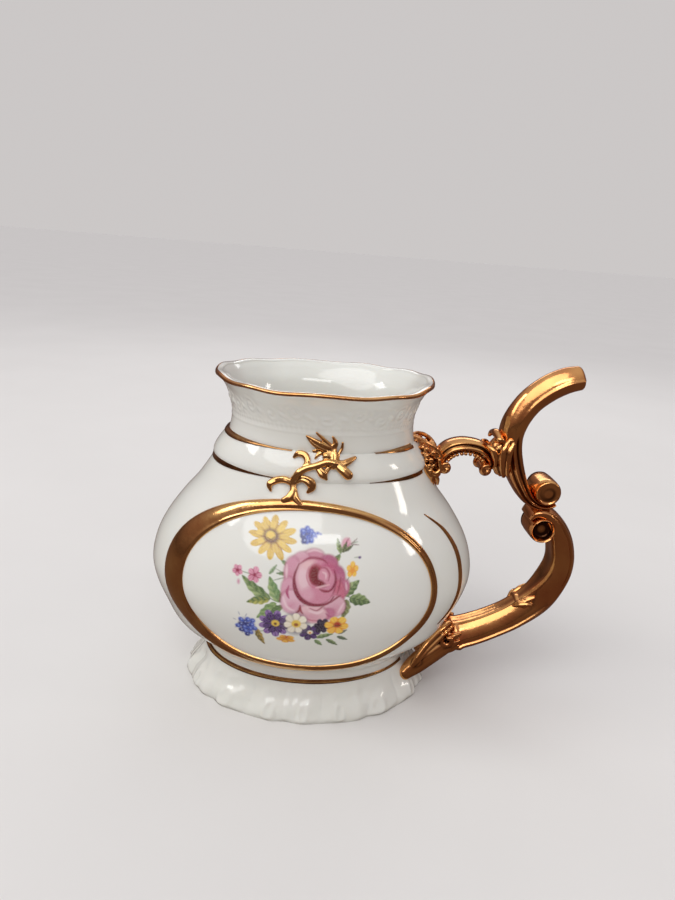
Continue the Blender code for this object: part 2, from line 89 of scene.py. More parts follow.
# Ovals round the medallion as (centre x, centre z, half width, half height)
PANEL_OVAL = (-3.1, 60.7, 47.4, 31.7)
FRAME_INNER_OVAL = (-3.1, 60.7, 46.8, 31.1)
FRAME_OUTER_OVAL = (-6.0, 60.4, 52.2, 34.9)


# ------------------------------------------------------------------ curves and the body's surface

def smooth(points, steps):
    """A Catmull-Rom curve through the points, as an array with a row for each place along it."""
    p = np.array([points[0], *points, points[-1]], float)
    t = (np.arange(steps) / steps)[:, None]
    runs = []
    for a, b, c, d in zip(p, p[1:], p[2:], p[3:]):
        runs.append(0.5 * (2 * b + (c - a) * t + (2 * a - 5 * b + 4 * c - d) * t ** 2
                           + (3 * b - a - 3 * c + d) * t ** 3))
    return np.vstack([*runs, p[-1]])


SURFACE = np.vstack([smooth(o, 12) for o in (FOOT_OUTLINE, BOWL_OUTLINE, BAND_OUTLINE, NECK_OUTLINE)])
SURFACE[:, 1] = np.maximum.accumulate(SURFACE[:, 1])


def half_width(z):
    return np.interp(z, SURFACE[:, 1], SURFACE[:, 0])


def smoothstep(value, low=0.0, high=1.0):
    t = np.clip((value - low) / (high - low), 0.0, 1.0)
    return t * t * (3 - 2 * t)


def body_point(angle, z, width=None, inset=0.0):
    """Points of the body's oval at height z, as an array (..., 3). The angle is 0 at the handle."""
    angle, z = np.broadcast_arrays(np.asarray(angle, float), np.asarray(z, float))
    width = half_width(z) if width is None else width
    turn = np.mod(angle, TURN) - math.pi
    flare = smoothstep(z, NECK_HEIGHT, RIM_HEIGHT)
    lip = LIP_REACH * np.exp(-((turn / LIP_SPREAD) ** 2))
    reach = np.cos(angle)
    x = (width - inset) * np.sign(reach) * np.abs(reach) ** (1 - RIM_BLUNTNESS * flare) - flare * lip
    y = (width * np.interp(z, DEPTH_HEIGHTS, DEPTH_RATIOS) - inset) * np.sin(angle)
    rise = np.where(reach > 0, HANDLE_SIDE_RISE, LIP_RISE) * flare ** 2 * reach ** 4
    return np.stack([x, y, z + rise], -1)


def eased_half_width(z, reach=0.7):
    """The half width with the creases between the outlines filled by a small fillet."""
    return sum(half_width(z + reach * share) for share in (-1.0, -0.5, 0.0, 0.5, 1.0)) / 5


def unit(v):
    return v / np.maximum(np.linalg.norm(v, axis=-1, keepdims=True), 1e-12)


def body_normal(angle, z):
    step = 0.02
    along = body_point(angle + step, z) - body_point(angle - step, z)
    upward = body_point(angle, z + step) - body_point(angle, z - step)
    return unit(np.cross(along, upward))


def front_angle(x, z):
    """The angle of the front surface's point at this x and z."""
    return -np.arccos(np.clip(x / half_width(z), -1.0, 1.0))


def on_front(x, z, lift):
    """Points over the front at this x and z, lifted this far off the surface."""
    angle = front_angle(x, z)
    return body_point(angle, z) + body_normal(angle, z) * np.asarray(lift)[..., None]


# ------------------------------------------------------------------ meshes

def mark_crevices(mesh, depth, rounds=24):
    """Paints how far each place lies below its smoothed surroundings: 1 where it is depth millimetres. The
    gold takes its painted shade in hollows from this.
    """
    count = len(mesh.vertices)
    place = np.empty(count * 3)
    mesh.vertices.foreach_get("co", place)
    place = place.reshape(-1, 3) / MM
    normal = np.empty(count * 3)
    mesh.vertex_normals.foreach_get("vector", normal)
    edges = np.empty(len(mesh.edges) * 2, dtype=int)
    mesh.edges.foreach_get("vertices", edges)
    first, second = edges.reshape(-1, 2).T
    degree = np.maximum(np.bincount(first, minlength=count) + np.bincount(second, minlength=count), 1)

    def neighbours(value):
        total = np.bincount(first, value[second], count) + np.bincount(second, value[first], count)
        return total / degree

    softened = place.copy()
    for _ in range(rounds):
        softened = np.stack([neighbours(axis) for axis in softened.T], -1)
    sunk = ((softened - place) * normal.reshape(-1, 3)).sum(-1) / depth
    for _ in range(2):
        sunk = neighbours(sunk)
    paint = np.ones((count, 4), dtype=np.float32)
    paint[:, :3] = np.clip(sunk, 0, 1)[:, None]
    layer = mesh.color_attributes.new("crevice", "FLOAT_COLOR", "POINT")
    layer.data.foreach_set("color", paint.ravel())


def mesh_piece(name, points, faces, material, slot, smooth_angle=50):
    """A piece from points in millimetres about the jug's axis, with its faces turned outward."""
    points = (np.asarray(points, float).reshape(-1, 3) + (AXIS_X, 0.0, 0.0)) * MM
    mesh = bpy.data.meshes.new(name)
    mesh.from_pydata(points.tolist(), [], [tuple(f) for f in faces])
    shape = bmesh.new()
    shape.from_mesh(mesh)
    bmesh.ops.recalc_face_normals(shape, faces=shape.faces)
    shape.to_mesh(mesh)
    shape.free()
    mesh.shade_smooth()
    mesh.set_sharp_from_angle(angle=math.radians(smooth_angle))
    piece = bpy.data.objects.new(name, mesh)
    bpy.context.scene.collection.objects.link(piece)
    mesh.materials.append(material)
    return piece


def grid_faces(rows, columns, wrap_rows=False, wrap_columns=False):
    r = np.arange(rows if wrap_rows else rows - 1)[:, None]
    c = np.arange(columns if wrap_columns else columns - 1)[None, :]
    r2, c2 = (r + 1) % rows, (c + 1) % columns
    quads = np.stack(np.broadcast_arrays(r * columns + c, r * columns + c2, r2 * columns + c2,
                                         r2 * columns + c), -1)
    return quads.reshape(-1, 4).tolist()


def tube_faces(count, around, closed=False):
    """The faces over this many rings of points, with capped ends unless the last ring joins the first."""
    faces = grid_faces(count, around, wrap_rows=closed, wrap_columns=True)
    if not closed:
        faces.append(list(range(around)))
        faces.append([(count - 1) * around + i for i in range(around)])
    return faces


def tube_piece(name, rings, material, slot, closed=False, **options):
    """A skin over an array of rings (ring, point, xyz)."""
    return mesh_piece(name, rings, tube_faces(*rings.shape[:2], closed), material, slot, **options)


def mirrored(points):
    return points * (1.0, -1.0, 1.0)


def stands_for(piece, *nodes):
    """The piece replaces these CAD nodes and rides on the jug's one body."""
    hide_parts(*nodes)
    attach(piece, "root")


# ------------------------------------------------------------------ materials

def new_material(name, colour, roughness, metallic=0.0):
    material = bpy.data.materials.new(name)
    material.use_nodes = True
    shader = material.node_tree.nodes["Principled BSDF"]
    shader.inputs["Base Color"].default_value = (*colour, 1.0)
    shader.inputs["Roughness"].default_value = roughness
    shader.inputs["Metallic"].default_value = metallic
    material.diffuse_color = (*colour, 1.0)
    return material, material.node_tree, shader


def add_noise(tree, scale, detail=3.0, stretch=(1.0, 1.0, 1.0)):
    """A noise texture in the object's own space, with this many blotches to a metre."""
    place = tree.nodes.new("ShaderNodeTexCoord")
    mapping = tree.nodes.new("ShaderNodeMapping")
    mapping.inputs["Scale"].default_value = stretch
    noise = tree.nodes.new("ShaderNodeTexNoise")
    noise.inputs["Scale"].default_value = scale
    noise.inputs["Detail"].default_value = detail
    tree.links.new(place.outputs["Object"], mapping.inputs["Vector"])
    tree.links.new(mapping.outputs["Vector"], noise.inputs["Vector"])
    return noise


def remap(tree, value, low, high):
    """The middle of a noise's range, spread from low to high."""
    ramp = tree.nodes.new("ShaderNodeMapRange")
    ramp.inputs["From Min"].default_value = 0.3
    ramp.inputs["From Max"].default_value = 0.7
    ramp.inputs["To Min"].default_value = low
    ramp.inputs["To Max"].default_value = high
    tree.links.new(value, ramp.inputs["Value"])
    return ramp.outputs["Result"]


def mix_colours(tree, factor, first, second):
    mix = tree.nodes.new("ShaderNodeMix")
    mix.data_type = "RGBA"
    tree.links.new(factor, mix.inputs["Factor"])
    for socket, colour in ((mix.inputs[6], first), (mix.inputs[7], second)):
        if isinstance(colour, tuple):
            socket.default_value = (*colour, 1.0)
        else:
            tree.links.new(colour, socket)
    return mix.outputs[2]


def add_bump(tree, shader, height, strength, distance):
    bump = tree.nodes.new("ShaderNodeBump")
    bump.inputs["Strength"].default_value = strength
    bump.inputs["Distance"].default_value = distance
    tree.links.new(height, bump.inputs["Height"])
    tree.links.new(bump.outputs["Normal"], shader.inputs["Normal"])


# The glaze's colour, which runs between two tints, and where it is printed on
GLAZE = (0.80, 0.81, 0.77)
GLAZE_COOL = (0.765, 0.78, 0.72)
GLAZE_WARM = (0.80, 0.81, 0.76)
BARE_PANEL = (0.78, 0.79, 0.74)


def glaze_finish(tree, shader):
    """The wet gloss of a clear glaze: faint waviness, and slightly uneven polish."""
    waves = add_noise(tree, 260.0, 2.0)
    polish = add_noise(tree, 90.0, 4.0)
    tree.links.new(remap(tree, polish.outputs["Fac"], 0.05, 0.13), shader.inputs["Roughness"])
    add_bump(tree, shader, waves.outputs["Fac"], 0.12, 0.0002)
    shader.inputs["IOR"].default_value = 1.52
    shader.inputs["Coat Weight"].default_value = 0.4
    shader.inputs["Coat Roughness"].default_value = 0.04
    shader.inputs["Subsurface Weight"].default_value = 0.12
    shader.inputs["Subsurface Radius"].default_value = (0.004, 0.0034, 0.0028)
    shader.inputs["Subsurface Scale"].default_value = 1.0


def porcelain_material():
    """White porcelain with a faint cloudiness under its glaze."""
    material, tree, shader = new_material("glazed_porcelain", GLAZE, 0.08)
    cloud = add_noise(tree, 28.0, 3.0)
    colour = mix_colours(tree, remap(tree, cloud.outputs["Fac"], 0.0, 1.0), GLAZE_COOL, GLAZE_WARM)
    tree.links.new(colour, shader.inputs["Base Color"])
    glaze_finish(tree, shader)
    return material


def painted_material():
    """Porcelain whose glaze carries the printed bouquet, read from the mesh's paint."""
    material, tree, shader = new_material("printed_porcelain", GLAZE, 0.08)
    paint = tree.nodes.new("ShaderNodeVertexColor")
    paint.layer_name = "print"
    grain = add_noise(tree, 2400.0, 2.0)
    fading = remap(tree, grain.outputs["Fac"], 0.0, 0.12)
    shade = mix_colours(tree, fading, paint.outputs["Color"], BARE_PANEL)
    tree.links.new(shade, shader.inputs["Base Color"])
    glaze_finish(tree, shader)
    return material


GOLD_SHADOW = (0.055, 0.022, 0.010)


def gold_material(name, deep, bright, smoothest, roughest, patch):
    """Bright gold fired over glaze, thinner and redder in patches, with dark brown painted shade in its
    crevices.
    """
    material, tree, shader = new_material(name, bright, smoothest, metallic=1.0)
    film = add_noise(tree, patch, 4.0)
    colour = mix_colours(tree, remap(tree, film.outputs["Fac"], 0.0, 1.0), deep, bright)
    crevice = tree.nodes.new("ShaderNodeVertexColor")
    crevice.layer_name = "crevice"
    # Painted shade: the gold is mixed towards GOLD_SHADOW where the crevice mark says a place lies sunk
    painted_crevice_shade = mix_colours(tree, crevice.outputs["Color"], colour, GOLD_SHADOW)
    tree.links.new(painted_crevice_shade, shader.inputs["Base Color"])
    polish = add_noise(tree, patch * 3.0, 5.0)
    tree.links.new(remap(tree, polish.outputs["Fac"], smoothest, roughest), shader.inputs["Roughness"])
    dimples = add_noise(tree, 700.0, 3.0)
    add_bump(tree, shader, dimples.outputs["Fac"], 0.18, 0.00025)
    return material


porcelain = porcelain_material()
painted = painted_material()
handle_gold = gold_material("handle_gold", (0.60, 0.23, 0.085), (0.82, 0.43, 0.15), 0.08, 0.20, 60.0)
relief_gold = gold_material("relief_gold", (0.62, 0.30, 0.11), (0.84, 0.52, 0.20), 0.08, 0.20, 90.0)
rim_gold = gold_material("rim_gold", (0.60, 0.27, 0.09), (0.86, 0.50, 0.22), 0.10, 0.22, 120.0)
# The gold lines' gold is a darker copy of the other gold: painted shade for the dark reflections the lines
# show
line_gold = gold_material("line_gold", (0.24, 0.11, 0.045), (0.46, 0.25, 0.09), 0.12, 0.26, 140.0)


# ------------------------------------------------------------------ the porcelain vessel

COLUMNS = 480
ANGLES = np.arange(COLUMNS) * TURN / COLUMNS
FOOT_LOBE_DEPTH = 1.0
NECK_SCROLLS = 12
# How far the rounded rim stands over RIM_EDGE, and the gentle waves in it, which die away at WAVES_FROM
LIP_CREST = 0.9
RIM_WAVES = 11
RIM_WAVE_HEIGHT = 0.24
WAVES_FROM = 121.0


def wavy(rings):
    """The same rings, with the rim's waves."""
    wave = RIM_WAVE_HEIGHT * np.sin(RIM_WAVES * ANGLES + 0.8)
    raised = rings.copy()
    raised[..., 2] += wave * smoothstep(rings[..., 2], WAVES_FROM, RIM_HEIGHT)
    return raised


def outline_grid(outline, steps):
    """The angle, height and half width of each place in a grid over the outline's surface."""
    path = smooth(outline, steps)
    angle, z = np.meshgrid(ANGLES, path[:, 1])
    return angle, z, np.repeat(path[:, :1], COLUMNS, axis=1)


def vessel_piece(name, rings, node, closed=True):
    stands_for(tube_piece(name, rings, porcelain, "glazed_porcelain", closed=closed), node)


def make_bowl():
    angle, z, width = outline_grid(BOWL_OUTLINE, 14)
    outer = body_point(angle, z, width)
    floor = FOOT_HEIGHT + WALL
    keep = z[:, 0] > floor + 3.0
    inner = body_point(angle[keep], z[keep], width[keep], WALL)[::-1]
    rounds = [body_point(ANGLES, floor + rise, inner[-1, 0, 0] * share)
              for share, rise in ((0.97, 1.6), (0.9, 0.7), (0.78, 0.15), (0.6, 0.0), (0.3, 0.0))]
    vessel_piece("porcelain_bowl", np.vstack([outer, inner, np.array(rounds)]), "bowl", closed=False)


def make_shoulder():
    angle, z, width = outline_grid(BAND_OUTLINE, 14)
    rings = np.vstack([body_point(angle, z, width), body_point(angle, z, width, WALL)[::-1]])
    vessel_piece("porcelain_shoulder", rings, "shoulder_band")


def neck_relief(angle, z):
    """A faint moulded band of scrolls, leaves and lattice round the neck."""
    rise = z - 124.8
    scroll = np.zeros_like(z)
    for shift, height, size in ((0.0, 1.2, 3.2), (0.5, -0.8, 2.6)):
        turn = (np.mod(angle * NECK_SCROLLS / TURN + shift, 1) - 0.5) * TURN / NECK_SCROLLS * 38.0
        reach = np.hypot(turn, rise - height)
        swirl = np.arctan2(rise - height, turn)
        coil = 0.5 + 0.5 * np.cos(swirl - 2.6 * reach)
        scroll = scroll + coil * np.exp(-(reach / size) ** 2)
        leaf = np.exp(-((np.abs(turn) - 5.0) / 1.5) ** 2 - ((rise - 0.6 * height) / 2.4) ** 2)
        scroll = scroll + 0.8 * leaf * (0.6 + 0.4 * np.cos(2.2 * rise + 1.1 * turn))
    lattice = np.cos(60 * angle + 1.6 * rise) * np.cos(60 * angle - 1.6 * rise)
    lattice = lattice * np.exp(-((rise + 4.4) / 1.4) ** 2)
    band = smoothstep(z, 116.5, 119.5) * (1 - smoothstep(z, 130.0, 132.4))
    edge = np.exp(-((z - 118.4) / 0.5) ** 2)
    return band * (0.42 * scroll + 0.14 * lattice) + 0.15 * edge


def foot_relief(angle, z):
    """Broad moulded leaves that fan out down the foot, one to each pair of lobes, softly crumpled."""
    down = np.clip(1 - z / FOOT_HEIGHT, 0, 1)
    phase = np.mod(9 * angle / TURN + 0.10 * np.sin(4 * angle) + 0.06 * down, 1) - 0.5
    leaf = np.sqrt(np.maximum(0, 1 - (2 * phase) ** 2))
    rib = np.exp(-(phase / 0.05) ** 2)
    side_leaf = np.exp(-((np.abs(phase) - 0.27 - 0.12 * down) / 0.07) ** 2)
    barbs = np.cos(24 * np.abs(phase) + 8 * down) * np.exp(-((np.abs(phase) - 0.2) / 0.12) ** 2)
    crumple = 0.18 * np.sin(13 * angle + 5 * down) * np.sin(8 * down - 3 * angle)
    curls = np.exp(-((np.hypot(11 * (np.abs(phase) - 0.24), 3.2 * (down - 0.72)) - 0.7) / 0.3) ** 2)
    relief = 0.8 * leaf + 0.35 * rib + 0.3 * side_leaf + 0.22 * barbs + 0.45 * curls + 1.3 * crumple - 0.75
    return smoothstep(down, 0.03, 0.3) * relief


def make_neck():
    angle, z, width = outline_grid(NECK_OUTLINE, 18)
    outer = body_point(angle, z, width) + body_normal(angle, z) * neck_relief(angle, z)[..., None]
    inner = body_point(angle, z, width, WALL)[::-1]
    lip = []
    for step in range(1, 10):
        turn = math.pi * step / 10
        ring = body_point(ANGLES, RIM_EDGE, NECK_OUTLINE[-1][0], WALL / 2 * (1 - math.cos(turn)))
        ring[:, 2] += LIP_CREST * math.sin(turn)
        lip.append(ring)
    vessel_piece("porcelain_neck", wavy(np.vstack([outer, np.array(lip), inner])), "neck")


def make_foot():
    """The foot: lobed and leafy outside, plain inside, and flat where it rests."""
    angle, z, width = outline_grid(FOOT_OUTLINE, 16)
    down = 1 - z / FOOT_HEIGHT
    lobes = FOOT_LOBE_DEPTH * down * (np.abs(np.sin(9 * angle)) - 1 + 0.25 * np.sin(27 * angle + 1.3))
    relief = smoothstep(z, 0.0, 2.5) * foot_relief(angle, z)
    outward = body_normal(angle, np.clip(z, 0.2, FOOT_HEIGHT - 0.2))
    outer = body_point(angle, z, width + lobes) + outward * relief[..., None]
    outer[..., 2] = np.maximum(outer[..., 2], 0.0)
    widths = [width for width, z in FOOT_OUTLINE]
    inner = np.array([body_point(ANGLES, height, width, inset) for height, width, inset in (
        (FOOT_HEIGHT, widths[4], WALL), (10.8, widths[3], WALL + 0.6), (6.4, widths[2], WALL + 1.5),
        (2.4, widths[1], WALL + 3.0), (0.5, widths[0], 5.6), (0.0, widths[0], 5.0),
    )])
    vessel_piece("porcelain_foot", np.vstack([outer, inner]), "foot_ring")


def make_rim_gilding():
    """The gilt edge, brushed along the rim's outer corner and wider at its ends."""
    ends = np.cos(ANGLES) ** 8
    last = 11
    rings = []
    for step in range(last + 1):
        turn = math.radians(-16 + 86 * step / last)
        film = 0.08 if 0 < step < last else -0.1
        inset = WALL / 2 * (1 - math.cos(turn)) - film
        ring = body_point(ANGLES, RIM_EDGE, NECK_OUTLINE[-1][0], inset if turn > 0 else -film)
        ring[:, 2] += LIP_CREST * math.sin(turn) + (film if turn > 0 else 0)
        if turn <= 0:
            ring[:, 2] += math.degrees(turn) * (0.016 + 0.03 * ends)
        rings.append(ring)
    rings.append(body_point(ANGLES, RIM_HEIGHT - 0.9, NECK_OUTLINE[-1][0], 0.8))
    piece = tube_piece("gilt_rim", wavy(np.array(rings)), rim_gold, "gold_line", closed=True)
    stands_for(piece, "rim_gilding")


make_bowl()
make_shoulder()
make_neck()
make_foot()
make_rim_gilding()


# ------------------------------------------------------------------ the printed bouquet

def srgb(red, green, blue):
    """A linear colour from display values of 0 to 255."""
    display = np.array((red, green, blue)) / 255
    return np.where(display > 0.04045, ((display + 0.055) / 1.055) ** 2.4, display / 12.92)


BARE = np.array(BARE_PANEL)
LEAF_LIGHT, LEAF_DARK = srgb(168, 186, 128), srgb(84, 112, 62)
YELLOW, OCHRE, BROWN = srgb(228, 194, 78), srgb(168, 118, 30), srgb(104, 58, 20)
ROSE, ROSE_DEEP = srgb(204, 132, 156), srgb(156, 62, 92)
BLUE, BLUE_PALE, BLUE_DEEP = srgb(66, 92, 188), srgb(150, 170, 222), srgb(34, 46, 122)
PURPLE, PURPLE_DEEP, LILAC = srgb(86, 52, 122), srgb(44, 24, 62), srgb(150, 116, 176)
ORANGE, RED, CREAM = srgb(232, 152, 44), srgb(176, 52, 28), srgb(240, 232, 206)
BUD_LIGHT, BUD_DARK = srgb(130, 140, 84), srgb(70, 78, 44)

# The bottom row of flowers is drawn about LOW_ROW, and then enlarged and moved to LOW_ROW_PLACE
LOW_ROW = (-3.0, 50.4)
LOW_ROW_PLACE = (-2.6, 52.0)
LOW_ROW_SCALE = 1.1


class Painting:
    """A colour for each place (x, z) of the panel, built up one brush mark at a time."""

    def __init__(self, x, z):
        self.x = x
        self.z = z
        self.colour = np.tile(BARE, (len(x), 1))

    def place(self, middle, scale, to):
        """Draws what follows at this scale, with its middle moved to another place."""
        self.x = middle[0] + (self.x - to[0]) / scale
        self.z = middle[1] + (self.z - to[1]) / scale

    def lay(self, cover, colour):
        cover = np.clip(cover, 0, 1)[:, None]
        self.colour += cover * (colour - self.colour)

    def dab(self, centre, radii, colour, tilt=0.0, strength=1.0, blur=0.5):
        """A soft-edged oval."""
        x, z = self.x - centre[0], self.z - centre[1]
        c, s = math.cos(tilt), math.sin(tilt)
        distance = np.hypot((x * c + z * s) / radii[0], (z * c - x * s) / radii[1]) - 1
        self.lay(strength * (0.5 - distance * min(radii) / blur), colour)

    def distance(self, points):
        """The distance to a line through the points, and how far along it the nearest place is."""
        nearest = np.full(len(self.x), 1e9)
        where = np.zeros(len(self.x))
        spans = len(points) - 1
        for i, ((x0, z0), (x1, z1)) in enumerate(zip(points, points[1:])):
            dx, dz = x1 - x0, z1 - z0
            t = np.clip(((self.x - x0) * dx + (self.z - z0) * dz) / (dx * dx + dz * dz), 0, 1)
            away = np.hypot(self.x - x0 - t * dx, self.z - z0 - t * dz)
            where = np.where(away < nearest, (i + t) / spans, where)
            nearest = np.minimum(nearest, away)
        return nearest, where

    def line(self, points, width, colour, strength=0.9, blur=0.35):
        """A brush line that thins towards both ends."""
        away, where = self.distance(smooth(points, 6)[:, :2].tolist() if len(points) > 2 else points)
        half = width / 2 * (0.35 + 0.65 * np.sin(math.pi * np.clip(where, 0.02, 0.98)))
        self.lay(strength * (0.5 - (away - half) / blur), colour)

    def leaf(self, base, tip, width, colour=LEAF_LIGHT, shade=LEAF_DARK, bend=0.0):
        """A leaf with a darker side, a rib and side veins."""
        base, tip = np.array(base, float), np.array(tip, float)
        axis = tip - base
        length = np.hypot(*axis)
        axis = axis / length
        along = ((self.x - base[0]) * axis[0] + (self.z - base[1]) * axis[1]) / length
        inside = np.clip(along, 0, 1)
        side = (self.z - base[1]) * axis[0] - (self.x - base[0]) * axis[1]
        side = side - bend * length * inside * (1 - inside)
        half = width * np.sin(math.pi * inside ** 0.75) ** 0.8 * (1 + 0.10 * np.sin(22 * inside))
        cover = np.clip(0.5 - (np.abs(side) - half) / 0.4, 0, 1) * (along > 0) * (along < 1)
        mix = np.clip(0.35 + 0.5 * side / width + 0.25 * np.sin(26 * inside - 3 * np.abs(side)), 0, 1)
        self.lay(cover, shade + (colour - shade) * mix[:, None])
        self.lay(cover * np.clip(0.5 - (np.abs(side) - 0.12) / 0.3, 0, 1) * 0.7, shade * 0.7)

    def bloom(self, centre, radii, petals, light, dark, turn=0.0, gap=0.3, roundness=2.4, vein=0.3):
        """A daisy-like flower of separate petals, darker between them and towards its middle."""
        u = (self.x - centre[0]) / radii[0]
        v = (self.z - centre[1]) / radii[1]
        reach = np.hypot(u, v)
        place = petals * (np.arctan2(v, u) - turn) / TURN
        phase = np.abs(np.mod(place, 1) - 0.5) * 2
        number = np.floor(place)
        length = 1 - 0.10 * np.mod(number * 0.618, 1)
        edge = length * (1 - gap * phase ** roundness)
        cover = np.clip(0.5 - (reach - edge) * min(radii) / 0.4, 0, 1)
        tone = np.clip(0.15 + 1.1 * phase ** 5 + vein * np.cos(9 * phase) * reach
                       + 0.75 * np.clip(0.55 - reach, 0, 1) + 0.25 * np.mod(number * 0.377, 1), 0, 1)
        self.lay(cover, light + (dark - light) * tone[:, None])
        return reach


def paint_daisy(art):
    centre = (-16.6, 82.3)
    art.bloom(centre, (8.9, 7.4), 12, YELLOW, OCHRE, turn=0.2, gap=0.42, roundness=2.0, vein=0.12)
    art.bloom((-16.9, 82.6), (6.4, 5.2), 9, srgb(236, 206, 96), OCHRE, turn=0.5, gap=0.36, roundness=2.0,
              vein=0.1)
    art.dab((-17.2, 82.7), (2.9, 2.4), BROWN, blur=0.9, strength=0.85)
    art.dab((-17.4, 82.9), (1.7, 1.4), YELLOW, blur=0.6)
    art.line([(-18.6, 82.2), (-17.2, 81.6), (-16.0, 82.6)], 0.5, BROWN)


def paint_posy(art, centre, radii, light, dark, pale, seed):
    """A loose cluster of tiny four-petalled flowers."""
    for i in range(15):
        turn = 2.4 * i + seed
        share = math.sqrt((i + 0.4) / 15)
        place = (centre[0] + radii[0] * share * math.cos(turn), centre[1] + radii[1] * share * math.sin(turn))
        art.dab(place, (1.1, 1.0), light if i % 3 else dark, tilt=turn, blur=0.5, strength=0.9)
        art.dab((place[0] + 0.2, place[1] + 0.2), (0.3, 0.3), pale, blur=0.4, strength=0.9)
        art.dab((place[0] - 0.5, place[1] - 0.5), (0.3, 0.5), dark, blur=0.4, strength=0.8)


